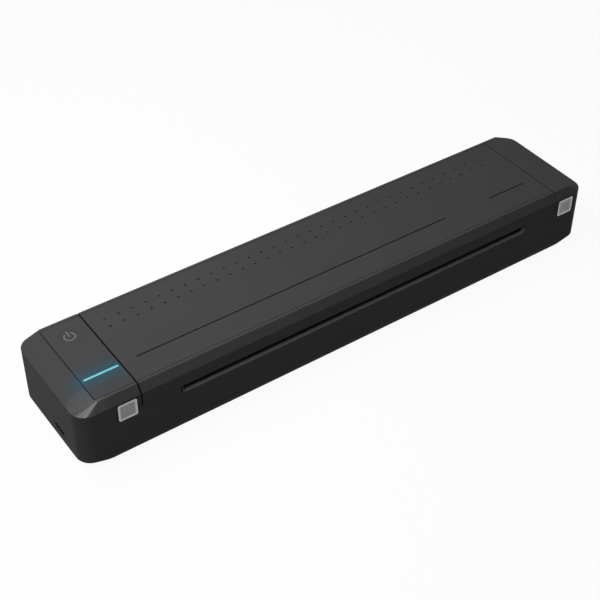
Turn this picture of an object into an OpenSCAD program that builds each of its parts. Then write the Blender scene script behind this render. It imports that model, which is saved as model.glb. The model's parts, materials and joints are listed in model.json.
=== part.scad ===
// Portable page printer for A4 sheets: a long low case with a hinged cover,
// a rubber platen in the base, a spring loaded print head in the cover and a ribbon
// that runs between two spools. Millimetres, +Z up, -Y is the front, the origin is
// under the middle of the case on the surface it stands on.

/* [Case] */
// Depth of the case, front to back
body_w = 64; // [63:0.5:70]
// Height of the case without its feet
body_h = 37.5; // [37:0.5:42]
// Radius of the upright corners in plan
corner_r = 8.2; // [6:0.1:10]
// Height of the sloped shoulder under the flat top
shoulder_drop = 4.5; // [4:0.1:5]
// Run of the shoulder at the two ends
end_run = 11.5; // [10:0.5:14]
// Run of the shoulder along the front and the rear
side_run = 2.7; // [2.2:0.1:3.2]
// Corner radius of the flat top
top_corner_r = 0.8; // [0.4:0.1:2]
// Height of the bevel round the bottom edge
bevel_h = 3; // [2:0.1:4]
// How far the bevel goes in
bevel_in = 0.95; // [0.5:0.05:1.2]
// Corner radius of the bottom outline
bottom_r = 14.9; // [12:0.1:16]
// Wall of the case and of its top
wall = 2.2; // [2:0.1:2.4]
// Thickness of the case floor
floor_t = 2; // [1.8:0.1:2.4]

/* [Cover and end caps] */
// Length of the left end with the control panel, up to the cover's seam
left_end_l = 32.6; // [32:0.1:36]
// Length of the right end, up to the cover's edge
right_end_l = 21.2; // [20.8:0.1:25]
// Distance of the sheet from the left end of the cover
sheet_left = 23.8; // [23.6:0.1:28]
// Distance of the sheet from the right end of the cover
sheet_right = 24.4; // [22:0.1:30]
// Width of the seam at the left of the cover
seam_gap = 0.85; // [0.5:0.05:1.2]
// Width of the tight joint at the right of the cover
right_gap = 0.45; // [0.2:0.05:0.6]
// Gap between the cover's lower edge and the base
part_gap = 0.15; // [0.15:0.05:0.4]
// Thickness of the end walls beside the cover
bulkhead_t = 1.6; // [1.4:0.1:2]
// Thickness of the trim plate let into the cover
trim_t = 1; // [0.8:0.1:1.2]
// Thickness of the control panel
panel_t = 1.6; // [1.4:0.1:1.8]
// Distance of the inset plates from the edge of the flat top
plate_inset = 1.9; // [1.5:0.1:3]
// Fine gap round the inset plates
plate_gap = 0.2; // [0.1:0.05:0.3]
// Groove at the outer end of the control panel
panel_groove = 0.45; // [0.2:0.05:0.6]

/* [Decoration of the cover] */
// Distance of the long groove from the front of the case
groove_y = 18.6; // [16:0.1:22]
// Width of the long groove
groove_w = 0.9; // [0.4:0.1:1]
// Depth of the groove and of the dimples
groove_depth = 0.6; // [0.2:0.1:0.6]
// Distance of the groove's ends from the cover's ends
groove_end = 7.8; // [6:0.1:12]
// Length of the plain space in the groove
blank_l = 30.5; // [20:0.5:40]
// Distance of the plain space from the groove's right end
blank_end = 24.4; // [20:0.1:40]
// Diameter of a dimple
dimple_d = 1.45; // [0.8:0.05:1.6]
// Distance between the dimples of a row
dimple_pitch = 7.55; // [6:0.05:9]
// Distance of the first dimple from the cover's left end
dimple_start = 8.2; // [6:0.1:9]
// Distance of the rear row from the rear of the case
dimple_rear = 14.05; // [12:0.05:18]
// Distance between the two rows
dimple_row = 6; // [4:0.1:8]

/* [Paper path] */
// Width of the sheet
paper_w = 210; // [180:0.5:240]
// How much longer the front slot is than the sheet
slot_extra = 4; // [2:0.5:4]
// Depth of the front slot's lip under the top of the case
lip_drop = 15.7; // [15.2:0.1:16.2]
// Height of the front slot
slot_h = 4.2; // [4.2:0.1:4.6]
// Radius of the front slot's lower corners
slot_corner_r = 1.5; // [0.8:0.1:2]
// Chamfer round the mouth of the front slot
slot_chamfer = 0.3; // [0.2:0.1:1]
// Height of the cover's lower edge below the top of the slot
lip_rise = 0.6; // [0.5:0.1:1]
// Height of the rear slot
inlet_h = 4.8; // [4.6:0.1:5.2]
// Depth of the rear slot's middle under the front slot's lip
inlet_drop = 6.7; // [6.4:0.1:7.2]
// Height of the channel between the paper guides
channel_h = 1.5; // [1.2:0.1:1.6]
// Thickness of the guides
guide_t = 1; // [0.8:0.1:1.1]

/* [Platen and spools] */
// Diameter of the platen rubber
platen_d = 12; // [11.6:0.1:12.2]
// Diameter of the platen shaft
platen_shaft_d = 6; // [5:0.1:6.4]
// Distance of the platen's axis from the front of the case
platen_y = 19; // [18.8:0.1:19.2]
// Height of the top of the platen over the slot's lip
platen_over = 1.8; // [1.6:0.1:2]
// How much longer the platen is than the sheet
platen_extra = 6; // [4:0.5:7]
// Radial clearance of a shaft in its bearing
run_clear = 0.05; // [0.03:0.01:0.08]
// Diameter of the full ribbon roll
supply_d = 13.2; // [12:0.1:13.4]
// Distance of the supply spool's axis from the front of the case
supply_y = 46; // [45.6:0.1:46.6]
// Depth of the supply spool's axis under the top of the case
supply_depth = 9.1; // [9:0.1:9.4]
// Diameter of the wound used ribbon
takeup_d = 8.4; // [7.4:0.1:8.6]
// Diameter of the spools' end pins
spool_pin_d = 4; // [3.6:0.1:4.4]
// Diameter of the spools' tubes
spool_core_d = 6; // [5.6:0.1:6.6]
// Thickness of the ribbon
ribbon_t = 0.1; // [0.06:0.01:0.12]

/* [Gears] */
// Module of the gear train
gear_module = 0.6; // [0.6:0.005:0.605]
// Teeth of the platen gear
platen_teeth = 36; // [34:1:37]
// Teeth of the take-up gear
takeup_teeth = 15; // [14:1:15]
// Teeth of the large wheel of the idler
idler_teeth = 30; // [29:1:31]
// Teeth of the small wheel of the idler
idler_pinion_teeth = 12; // [12:1:13]
// Teeth of the motor pinion
motor_teeth = 12; // [12:1:13]
// Width of the teeth beside the frame
gear_w_a = 5; // [4:0.1:5.2]
// Width of the outer teeth
gear_w_b = 3.5; // [3:0.1:3.6]
// Space between wheels side by side
gear_space = 1; // [0.8:0.1:1.1]
// Extra distance between the axes of meshing gears
gear_play = 0.1; // [0.08:0.01:0.12]
// Space between the take-up gear and the cover
takeup_room = 0.9; // [0.6:0.1:1.2]
// Space between the idler and the floor
idler_room = 1; // [0.6:0.1:1.6]
// Diameter of the motor
motor_d = 17; // [15:0.5:18]
// Length of the motor
motor_l = 18; // [15:0.5:20]
// Space between the motor and the floor
motor_room = 0.6; // [0.4:0.1:1]

/* [Print head] */
// Width of the print head, front to back
head_w = 11; // [10:0.1:11.2]
// Width of the ceramic strip on it
ceramic_w = 9; // [8:0.1:9.6]
// Height of the print head's aluminium bar
head_h = 5.2; // [5:0.1:5.6]
// Thickness of the ceramic strip
ceramic_t = 0.7; // [0.6:0.05:0.8]
// Gap between the head and the platen with the cover closed
head_gap = 0.3; // [0.3:0.02:0.4]
// How far the head can give way
head_travel = 0.8; // [0.5:0.1:1]
// Thickness of the head's bracket
bracket_t = 1.2; // [1:0.1:1.2]

/* [Buttons] */
// Side of the square release buttons
button_s = 10; // [9:0.1:10.2]
// Gap round a release button
button_gap = 0.6; // [0.2:0.05:0.6]
// Distance of the left button's middle from the seam
left_button_off = 7.6; // [7.4:0.1:8]
// Distance of the right button's middle from the cover's edge
right_button_off = 7.4; // [7.2:0.1:8]
// Depth of the buttons' middle under the top of the case
button_drop = 10.75; // [10.6:0.05:11]
// Travel of a release button
button_travel = 2; // [1.5:0.1:2.2]
// Depth of the finger dish in a button
dish_depth = 0.5; // [0.3:0.05:0.6]
// Diameter of the power key
key_d = 10; // [8:0.5:11]
// Gap round the power key
key_gap = 0.08; // [0.06:0.01:0.2]
// How far the power key lies under the panel's face
key_sink = 0.05; // [0.02:0.01:0.1]
// Travel of the power key
key_travel = 0.4; // [0.3:0.05:0.4]
// Distance of the power key's middle from the seam
key_x = 10.9; // [10:0.1:12]
// Distance of the power key's middle from the rear of the case
key_rear = 15.4; // [14:0.1:18]
// Distance of the light bar from the outer end of the control panel
light_margin = 1.45; // [1.2:0.05:4]
// Width of the light bar
light_w = 1.3; // [1:0.1:2]
// Distance of the light bar's middle from the front of the case
light_y = 18.3; // [17:0.1:20]
// Distance of the light bar's end from the seam
light_end = 1.5; // [1.5:0.1:2]

/* [Hinge, feet and port] */
// Radius of the round bead along the cover's rear edge
bead_r = 2.4; // [2.2:0.1:2.6]
// Diameter of the hinge pins
hinge_pin_d = 2; // [1.6:0.1:2.2]
// Width of a hinge knuckle of the base
knuckle_w = 10; // [8:0.5:14]
// Depth of the hinge axis under the top of the case
hinge_drop = 11.3; // [11.1:0.1:11.6]
// Distance of the outer hinge knuckles from the middle of the paper
knuckle_off = 96; // [80:1:100]
// Height by which the feet stand out
foot_h = 0.8; // [0.6:0.1:1.2]
// Diameter of a foot
foot_d = 10; // [8:0.5:12]
// Distance of the charging port from the front of the case
port_y = 23.4; // [22.5:0.1:25]
// Height of the charging port over the bottom of the case
port_z = 8.9; // [8.6:0.1:9.4]
// Width of the charging port's shell
port_w = 8.94; // [8.8:0.02:9]
// Height of the charging port's shell
port_h = 3.2; // [3.1:0.05:3.3]
// Distance of the reset hole from the middle of the charging port
reset_off = 5.4; // [5.3:0.1:7]
// Diameter of the reset hole
reset_d = 1.3; // [1:0.1:1.5]

/* [Boards and battery] */
// Length of one battery cell
cell_l = 84; // [60:1:88]
// Space between the two cells
cell_space = 6; // [5:0.5:10]
// Room between the platen and the cells
cell_front_room = 7; // [6:0.5:9]
// Room between the cells and the rear of the case
cell_rear_room = 6; // [5:0.5:8]
// Length of the driver board
driver_l = 120; // [100:1:160]
// Width of the driver board
driver_w = 25; // [22:0.5:26]
// Width of the main board, front to back
main_board_w = 24; // [22:0.5:25]

/* [Hidden] */
$fn = 64;
// Segments of a quarter turn in the case's corners
corner_steps = 10;
// Oversize that takes a cut through a face
cut = 1;

// Colours
case_black = "#262626";
top_black = "#3e3e3e";
metal_grey = "#8c8c8c";
steel = "#b8bcc0";
aluminium_grey = "#c9ccd0";
board_green = "#1f5c3a";
chip_black = "#1a1a1a";
rubber_black = "#151515";
gear_white = "#e8e4d8";
ribbon_black = "#101012";
light_cyan = "#78e6eb";

// Ends, seams and levels of the case
body_l = left_end_l + sheet_left + paper_w + sheet_right + right_end_l;
x_left = -body_l / 2;
x_right = body_l / 2;
y_front = -body_w / 2;
y_rear = body_w / 2;
z_bottom = foot_h;
z_top = foot_h + body_h;
z_shoulder = z_top - shoulder_drop;
z_floor = z_bottom + floor_t;
flat_l = body_l - 2 * end_run;
flat_w = body_w - 2 * side_run;
left_cap_x = x_left + left_end_l - seam_gap / 2;
cover_x0 = left_cap_x + seam_gap;
right_cap_x = x_right - right_end_l + right_gap / 2;
cover_x1 = right_cap_x - right_gap;
end_slope = atan2(shoulder_drop, end_run);
side_slope = atan2(shoulder_drop, side_run);
inner_top = z_top - wall;

// Paper path
mid_x = x_left + left_end_l + sheet_left + paper_w / 2;
slot_l = paper_w + slot_extra;
lip_z = z_top - lip_drop;
slot_top = lip_z + slot_h;
cover_low = slot_top - lip_rise;
base_rim = cover_low - part_gap;
inlet_z = lip_z - inlet_drop;
inlet_l = slot_l + 4;
platen_r = platen_d / 2;
platen_yc = y_front + platen_y;
platen_top = lip_z + platen_over;
platen_z = platen_top - platen_r;
platen_l = paper_w + platen_extra;
function path_z(y) = inlet_z + 0.8 + (platen_top - inlet_z - 0.8) * (y_rear - y) / (y_rear - platen_yc);

// Frame plates on either side of the paper
plate_t = 2;
plate_in = platen_l / 2 + 5.3;
left_plate_x = mid_x - plate_in;
right_plate_x = mid_x + plate_in;
plate_top = inner_top - 1.3;
bush_r = platen_shaft_d / 2 + 2;
shaft_end = 1.2;

// Hinge
hinge_y = y_rear - bead_r;
hinge_zc = z_top - hinge_drop;
rear_rim = hinge_zc - bead_r - 0.3;
knuckle_side = 0.2;
pin_l = knuckle_w + 12;
knuckles = [mid_x - knuckle_off, mid_x, mid_x + knuckle_off];

// Gear train, from the platen to the take-up spool and to the motor
add_len = 0.55;
ded_len = 0.75;
tooth_thin = 0.05;
pressure = 20;
function pitch_r(teeth) = gear_module * teeth / 2;
function mesh_c(a, b) = pitch_r(a) + pitch_r(b) + gear_play;
function tip_r(teeth) = pitch_r(teeth) + add_len;
// The take-up spool hangs under the cover, the idler and the motor stand on the floor
takeup_z = inner_top - takeup_room - tip_r(takeup_teeth);
idler_z = z_floor + idler_room + tip_r(idler_teeth);
motor_z = z_floor + motor_room + motor_d / 2;
takeup_dir = 180 - asin((takeup_z - platen_z) / mesh_c(platen_teeth, takeup_teeth));
idler_dir = asin((idler_z - platen_z) / mesh_c(platen_teeth, idler_pinion_teeth));
motor_dir = asin((motor_z - idler_z) / mesh_c(idler_teeth, motor_teeth));
takeup_y = platen_yc + mesh_c(platen_teeth, takeup_teeth) * cos(takeup_dir);
idler_y = platen_yc + mesh_c(platen_teeth, idler_pinion_teeth) * cos(idler_dir);
motor_y = idler_y + mesh_c(idler_teeth, motor_teeth) * cos(motor_dir);
// Turn of a gear that meshes, from the turn of its partner and the line of centres
function mesh_turn(turn, dir, teeth, partner) =
    dir + 180 - (turn - dir) * partner / teeth + 180 / teeth;
platen_turn = idler_dir;
takeup_turn = mesh_turn(platen_turn, takeup_dir, takeup_teeth, platen_teeth);
idler_turn = mesh_turn(platen_turn, idler_dir, idler_pinion_teeth, platen_teeth);
motor_turn = mesh_turn(idler_turn, motor_dir, motor_teeth, idler_teeth);
gear_a_x1 = left_plate_x - plate_t - 2.5;
gear_a_x0 = gear_a_x1 - gear_w_a;
gear_b_x1 = gear_a_x0 - gear_space;
gear_b_x0 = gear_b_x1 - gear_w_b;
motor_shaft_d = 2;
axle_d = 3;
motor_screw_off = motor_d / 2 - 1.8;

// Spools
supply_yc = y_front + supply_y;
supply_z = z_top - supply_depth;
pin_r = spool_pin_d / 2;
spool_l = 2 * plate_in - 1;

// Print head and bracket
head_y0 = platen_yc - head_w / 2 + 0.5;
head_low = platen_top + head_gap;
bar_z = head_low + ceramic_t;
bar_top = bar_z + head_h;
bracket_top = inner_top - 1.3;
bracket_z = bracket_top - bracket_t;
bracket_in = platen_l / 2 + 1.6;
guide_pin_r = 1;
guide_pin_z = bar_z + head_h - 1.8;
head_spring_x = [for (k = [-2:2]) mid_x + k * platen_l / 5];
bracket_screw_x = [for (k = [-1.5:1:1.5]) mid_x + k * platen_l / 5];
head_spring_r = 1.6;

// The ribbon between the spools: under the head, clear of the platen
web_mid = platen_top + head_gap / 2;
web_in = 0.15;
web_rear = [platen_yc + 1, web_mid];
web_front = [head_y0 - 0.2, web_mid];
// Point where a line from p touches a roll with its middle at c
function touch(p, c, r, side) = let (d = c - p, l = norm(d),
    a = atan2(d[1], d[0]) + side * asin(r / l), t = sqrt(l * l - r * r)) p + t * [cos(a), sin(a)];
web_supply = touch(web_rear, [supply_yc, supply_z], supply_d / 2 + web_in, -1);
web_takeup = touch(web_front, [takeup_y, takeup_z], takeup_d / 2 + web_in, -1);

// Side plates: outline in Y and Z
plate_front = y_front + wall + 1.8;
plate_rear = supply_yc + 7;
plate_shape = [[plate_front + 4, z_floor], [plate_rear, z_floor], [plate_rear, plate_top - 4],
    [plate_rear - 4, plate_top], [plate_front + 2.2, plate_top], [plate_front, plate_top - 4],
    [plate_front, platen_z - 4]];

// Paper guides; the upper one ends where the ribbon comes down to it
guide_rear = y_rear - wall - 0.3;
guide_bend = guide_rear - 7;
lower_tip = platen_yc + platen_r + 1.6;
half = channel_h / 2;
web_room = 0.5;
path_slope = path_z(0) - path_z(1);
web_slope = (web_rear[1] - web_supply[1]) / (web_supply[0] - web_rear[0]);
upper_tip = (path_z(0) + half + guide_t + web_room - web_mid - web_slope * web_rear[0])
    / (path_slope - web_slope);
low_in = inlet_z - inlet_h / 2 - 0.2;
high_in = inlet_z + inlet_h / 2 + 0.2;
guide_half = plate_in - 0.2;
web_t = 1.5;
sensor_y = platen_yc + platen_r + 5;

// Release buttons, their latches and springs
button_depth = 5;
left_button_xc = x_left + left_end_l - left_button_off;
right_button_xc = x_right - right_end_l + right_button_off;
button_zc = z_top - button_drop;
arm_t = 3;
arm_h = 3.5;
arm_y = y_front + button_depth + 5.3;
arm_z = button_zc - 0.9;
catch_y = arm_y - 0.3;
catch_z = arm_z - 2.4;
catch_t = 2;
spring_l = 7;
spring_r = 2;
stop_t = 1.5;

// Control panel, key and light
panel_low = z_top - panel_t;
panel_x0 = x_left + end_run + 0.05;
panel_w = flat_w - 2 * plate_inset;
key_xc = x_left + left_end_l - key_x;
key_yc = y_rear - key_rear;
light_x1 = x_left + left_end_l - light_end;
light_l = light_x1 - panel_x0 - light_margin;
light_yc = y_front + light_y;
board_t = 1.2;
panel_board_z = panel_low - 5.7;
key_low = panel_low - 0.2;
key_flange_t = 0.8;
key_stem_low = key_low - key_flange_t - 1;
cap_window = 2.2;

// Port and main board
port_yc = y_front + port_y;
port_zc = z_bottom + port_z;
main_board_top = port_zc - port_h / 2;
main_board_t = 1.6;
board_x0 = x_left + 3;
board_x1 = left_cap_x - bulkhead_t - 1.6;
board_y0 = y_front + 11;
board_y1 = board_y0 + main_board_w;
reset_yc = port_yc + reset_off;
driver_y0 = y_front + 5;
driver_screw = driver_l / 2 - 5;
port_l = 7.3;

// Posts and screws that hold the caps
post_r = 2.8;
post_split = z_floor + 11;
case_screw_r = 1.25;
case_screw_sink = 5;
case_screw_bite = 8;
post_end = 9.5;
post_side = 7;
left_posts = [for (y = [y_front + post_side, y_rear - post_side]) [x_left + post_end, y]];
right_posts = [for (y = [y_front + post_side + 21, y_rear - post_side]) [x_right - post_end, y]];
posts = concat(left_posts, right_posts);
foot_x = body_l / 2 - 22;
foot_y = body_w / 2 - 14;
foot_set = 1;
frame_screw_y = [platen_yc + 8.5, platen_yc + 30];
foot_tab = 6;

// ---- Case form -------------------------------------------------------------

// Points of a rounded rectangle at one height, the same number for every radius
function ring(l, w, r, z) = [for (q = [0:3]) for (s = [0:corner_steps])
    let (a = 90 * (q + s / corner_steps),
        cx = (q == 0 || q == 3 ? 1 : -1) * (l / 2 - r),
        cy = (q < 2 ? 1 : -1) * (w / 2 - r))
    [cx + r * cos(a), cy + r * sin(a), z]];

// The convex form of the case, taken in by t on all sides and by tf at the bottom
module case_form(t, tf) {
    n = 4 * (corner_steps + 1);
    top = ring(flat_l - 2 * t * tan(end_slope / 2), flat_w - 2 * t * tan(side_slope / 2),
        top_corner_r, z_top - t);
    shoulder = ring(body_l - 2 * t, body_w - 2 * t, corner_r - t,
        z_shoulder - t * tan((90 - end_slope) / 2));
    low = ring(body_l - 2 * t, body_w - 2 * t, corner_r - t, z_bottom + bevel_h);
    base = ring(body_l - 2 * t - 2 * bevel_in, body_w - 2 * t - 2 * bevel_in, bottom_r - t,
        z_bottom + tf);
    side = [for (level = [0:2]) for (i = [0:n - 1])
        [level * n + i, level * n + (i + 1) % n, (level + 1) * n + (i + 1) % n, (level + 1) * n + i]];
    polyhedron(
        points = concat(top, shoulder, low, base),
        faces = concat(side, [[for (i = [n - 1:-1:0]) i]], [[for (i = [0:n - 1]) 3 * n + i]]));
}

// A block between two corners
module block(low, high) {
    translate(low)
        cube(high - low);
}

// A rod along X
module rod_x(x0, x1, y, z, r) {
    translate([x0, y, z])
        rotate([0, 90, 0])
            cylinder(r = r, h = x1 - x0);
}

// A rod along Y
module rod_y(y0, y1, x, z, r) {
    translate([x, y0, z])
        rotate([-90, 0, 0])
            cylinder(r = r, h = y1 - y0);
}

// A flat outline in Y and Z, extruded along X from x0 to x1
module profile_x(x0, x1, points) {
    translate([x0, 0, 0])
        rotate([90, 0, 90])
            linear_extrude(height = x1 - x0)
                polygon(points);
}

// A screw that points up: its head lies under z
module screw_up(x, y, z, r, l, head_r, head_h) {
    translate([x, y, z])
        difference() {
            union() {
                cylinder(r = r, h = l);
                translate([0, 0, -head_h])
                    cylinder(r = head_r, h = head_h);
            }
            for (a = [0, 90])
                rotate([0, 0, a])
                    translate([-head_r * 0.6, -head_r * 0.12, -head_h - cut])
                        cube([head_r * 1.2, head_r * 0.24, head_h * 0.5 + cut]);
        }
}

// A round wire coil from z = 0 to z = h, swept as one tube with flat ends
module coil_spring(r, wire_r, h, turns) {
    steps = 12;
    sides = 6;
    rings = turns * steps;
    rise = (h - 2 * wire_r) / rings;
    points = [for (i = [0:rings]) for (j = [0:sides - 1])
        let (a = 360 * i / steps, b = 360 * j / sides, q = r - wire_r + wire_r * cos(b))
        [q * cos(a), q * sin(a), wire_r + i * rise + wire_r * sin(b)]];
    faces = [for (i = [0:rings - 1]) for (j = [0:sides - 1])
        [i * sides + j, i * sides + (j + 1) % sides,
            (i + 1) * sides + (j + 1) % sides, (i + 1) * sides + j]];
    ends = [[for (j = [sides - 1:-1:0]) j], [for (j = [0:sides - 1]) rings * sides + j]];
    polyhedron(points = points, faces = concat(faces, ends));
}

// ---- Gears -----------------------------------------------------------------

function involute(a) = tan(a) * 180 / PI - a;

// Half of the angle of a tooth at radius q
function half_tooth(teeth, q) = let (rp = pitch_r(teeth), rb = rp * cos(pressure))
    90 / teeth - tooth_thin / (2 * rp) * 180 / PI + involute(pressure)
        - involute(acos(min(1, rb / q)));

function polar(r, a) = [r * cos(a), r * sin(a)];

// Outline of an involute gear whose first tooth points along the local X axis
function gear_points(teeth) = let (rp = pitch_r(teeth), rb = rp * cos(pressure),
    ra = rp + add_len, rf = rp - ded_len, r0 = max(rb, rf), n = 4)
    [for (i = [0:teeth - 1]) let (c = 360 * i / teeth, h0 = half_tooth(teeth, r0)) each concat(
        rf < rb ? [polar(rf, c - h0)] : [],
        [for (k = [0:n]) let (q = r0 + (ra - r0) * k / n) polar(q, c - half_tooth(teeth, q))],
        [for (k = [n:-1:0]) let (q = r0 + (ra - r0) * k / n) polar(q, c + half_tooth(teeth, q))],
        rf < rb ? [polar(rf, c + h0)] : [])];

// A gear that lies in the Y-Z plane
module gear_x(x0, x1, y, z, teeth, turn) {
    translate([x0, y, z])
        rotate([90, 0, 90])
            rotate([0, 0, turn])
                linear_extrude(height = x1 - x0)
                    polygon(gear_points(teeth));
}

// ---- Case ------------------------------------------------------------------

// One end wall beside the cover, from the floor to the caps
module bulkhead(x0) {
    intersection() {
        case_form(wall / 2, floor_t / 2);
        block([x0, y_front, z_bottom], [x0 + bulkhead_t, y_rear, z_shoulder]);
    }
}

// The opening that a latch arm passes through in an end wall
module arm_slot(x0, x1) {
    block([x0, arm_y - 0.4, arm_z - 0.4],
        [x1, arm_y + arm_t + button_travel + 0.4, arm_z + arm_h + 0.4]);
}

// The window of a release button in the front wall
module button_window(x) {
    s = button_s / 2 + button_gap;
    block([x - s, y_front - cut, button_zc - s], [x + s, y_front + wall + cut, button_zc + s]);
}

// The bracket on an end wall that a button's spring leans on
module spring_stop(x0, x1) {
    block([x0, arm_y + arm_t + spring_l, button_zc - 4],
        [x1, arm_y + arm_t + spring_l + stop_t, button_zc + 3]);
}

// The rounded outline of the charging port, along X
module port_form(x0, x1, grow) {
    r = port_h / 2 + grow;
    off = port_w / 2 - port_h / 2;
    for (s = [-1, 1])
        rod_x(x0, x1, port_yc + s * off, port_zc, r);
    block([x0, port_yc - off, port_zc - r], [x1, port_yc + off, port_zc + r]);
}

// The lower part of the front slot, up to a height, its corners rounded
module slot_form(y0, y1, grow, top) {
    x0 = mid_x - slot_l / 2 - grow;
    x1 = mid_x + slot_l / 2 + grow;
    z0 = lip_z - grow;
    r = slot_corner_r + grow;
    block([x0 + r, y0, z0], [x1 - r, y1, top]);
    block([x0, y0, z0 + r], [x1, y1, top]);
    for (x = [x0 + r, x1 - r])
        rod_y(y0, y1, x, z0 + r, r);
}

module base_housing() {
    bulk_l = left_cap_x - bulkhead_t;
    stud_x = left_plate_x - plate_t;
    color(case_black)
        difference() {
            union() {
                difference() {
                    case_form(0, 0);
                    case_form(wall, floor_t);
                    // The caps lie on the shoulder
                    block([x_left - cut, y_front - cut, z_shoulder],
                        [x_right + cut, y_rear + cut, z_top + cut]);
                    // The cover takes the top between the end walls
                    block([left_cap_x, y_front - cut, base_rim],
                        [right_cap_x, y_front + body_w / 2, z_top]);
                    block([left_cap_x, 0, rear_rim], [right_cap_x, y_rear + cut, z_top]);
                }
                bulkhead(bulk_l);
                bulkhead(right_cap_x);
                spring_stop(left_button_xc - 4, bulk_l + cut / 2);
                spring_stop(right_cap_x + bulkhead_t - cut / 2, right_button_xc + 4);
                // Hinge knuckles on the rear wall
                for (x = knuckles) {
                    rod_x(x - knuckle_w / 2, x + knuckle_w / 2, hinge_y, hinge_zc, bead_r);
                    block([x - knuckle_w / 2, hinge_y - bead_r, rear_rim - 4],
                        [x + knuckle_w / 2, y_rear, hinge_zc]);
                }
                // Posts for the screws of the caps
                for (p = posts)
                    translate([p[0], p[1], z_floor - cut / 2])
                        cylinder(r = post_r, h = post_split - z_floor + cut / 2);
                // Pads under the main board
                for (y = [board_y0 + 3, board_y1 - 3])
                    translate([board_x1 - 3, y, z_floor - cut / 2])
                        cylinder(r = 2.2, h = main_board_top - main_board_t - z_floor + cut / 2);
                // Pads under the driver board
                for (s = [-1, 1])
                    translate([mid_x + s * driver_screw, platen_yc, z_floor - cut / 2])
                        cylinder(r = 2.2, h = 1.4 + cut / 2);
            }
            // Front slot, down to the lip, with a chamfered mouth
            slot_form(y_front - cut, y_front + wall + cut, 0, base_rim + cut);
            hull() {
                slot_form(y_front - cut, y_front, slot_chamfer + cut, base_rim + 1);
                slot_form(y_front + slot_chamfer, y_front + slot_chamfer + cut, 0, base_rim + 1);
            }
            // Rear slot
            block([mid_x - inlet_l / 2, y_rear - wall - cut, inlet_z - inlet_h / 2],
                [mid_x + inlet_l / 2, y_rear + cut, inlet_z + inlet_h / 2]);
            button_window(left_button_xc);
            button_window(right_button_xc);
            arm_slot(bulk_l - cut, left_cap_x + cut);
            arm_slot(right_cap_x - cut, right_cap_x + bulkhead_t + cut);
            // Charging port and reset hole
            port_form(x_left - cut, x_left + wall + cut, 0.25);
            rod_x(x_left - cut, x_left + wall + cut, reset_yc, port_zc + 0.6, reset_d / 2);
            // Motor boss and its screw holes in the left end wall
            rod_x(bulk_l - cut, left_cap_x + cut, motor_y, motor_z, 3.2);
            for (s = [-1, 1])
                rod_x(bulk_l - cut, left_cap_x + cut, motor_y, motor_z + s * motor_screw_off, 1);
            // Hinge bores
            for (x = knuckles)
                rod_x(x - knuckle_w, x + knuckle_w, hinge_y, hinge_zc, hinge_pin_d / 2 + 0.01);
            // Screw holes of the caps, with room for the heads
            for (p = posts)
                translate([p[0], p[1], 0]) {
                    cylinder(r = case_screw_r + 0.25, h = post_split + cut);
                    cylinder(r = 2.4, h = z_floor + 5);
                }
            // Seats of the feet
            for (sx = [-1, 1])
                for (sy = [-1, 1])
                    translate([sx * foot_x, sy * foot_y, 0])
                        cylinder(r = foot_d / 2, h = z_bottom + foot_set);
            // Pilot holes of the frame's screws
            for (x = [left_plate_x - plate_t - foot_tab / 2, right_plate_x + plate_t + foot_tab / 2])
                for (y = frame_screw_y)
                    translate([x, y, z_floor - 1.4])
                        cylinder(r = 0.9, h = 2);
            for (y = [board_y0 + 3, board_y1 - 3])
                translate([board_x1 - 3, y, z_floor + 0.4])
                    cylinder(r = 0.8, h = port_zc);
            for (s = [-1, 1])
                translate([mid_x + s * driver_screw, platen_yc, z_floor - 1.2])
                    cylinder(r = 0.8, h = 4);
        }
}

// A cap over one end, hollow, with a wall beside the cover and pillars for its screws
module end_cap(x0, x1, wall_x, pillars) {
    difference() {
        union() {
            difference() {
                intersection() {
                    case_form(0, 0);
                    block([x0, y_front, z_shoulder], [x1, y_rear, z_top]);
                }
                case_form(wall, floor_t);
            }
            intersection() {
                case_form(wall / 2, floor_t);
                block([wall_x, y_front, z_shoulder], [wall_x + bulkhead_t, y_rear, z_top]);
            }
            intersection() {
                case_form(wall / 2, floor_t);
                for (p = pillars)
                    translate([p[0], p[1], post_split])
                        cylinder(r = post_r, h = z_top - post_split);
            }
        }
        for (p = pillars)
            translate([p[0], p[1], post_split - cut])
                cylinder(r = case_screw_r, h = cut + 9);
    }
}

module left_end_cap() {
    color(top_black)
        difference() {
            end_cap(x_left, left_cap_x, left_cap_x - bulkhead_t, left_posts);
            // Seat of the control panel, open below it
            block([panel_x0 - panel_groove, -panel_w / 2 - plate_gap, panel_low],
                [left_cap_x + cut, panel_w / 2 + plate_gap, z_top + cut]);
            block([panel_x0 + cap_window, -panel_w / 2 + cap_window, inner_top - cut],
                [left_cap_x - bulkhead_t, panel_w / 2 - cap_window, z_top + cut]);
        }
}

module right_end_cap() {
    color(top_black)
        end_cap(right_cap_x, x_right, right_cap_x, right_posts);
}

module control_panel() {
    color(top_black)
        difference() {
            union() {
                block([panel_x0, -panel_w / 2, panel_low], [left_cap_x, panel_w / 2, z_top]);
                // Pegs that carry the panel board
                for (y = [light_yc + 6, key_yc - 8])
                    translate([key_xc, y, panel_board_z + board_t])
                        cylinder(r = 1.6, h = panel_low - panel_board_z - board_t + cut / 2);
            }
            translate([key_xc, key_yc, panel_low - cut])
                cylinder(r = key_d / 2 + key_gap, h = panel_t + 2 * cut);
            block([light_x1 - light_l, light_yc - light_w / 2, panel_low - cut],
                [light_x1, light_yc + light_w / 2, z_top + cut]);
            for (y = [light_yc + 6, key_yc - 8])
                translate([key_xc, y, panel_board_z])
                    cylinder(r = 0.7, h = 4.5);
        }
}

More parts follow.
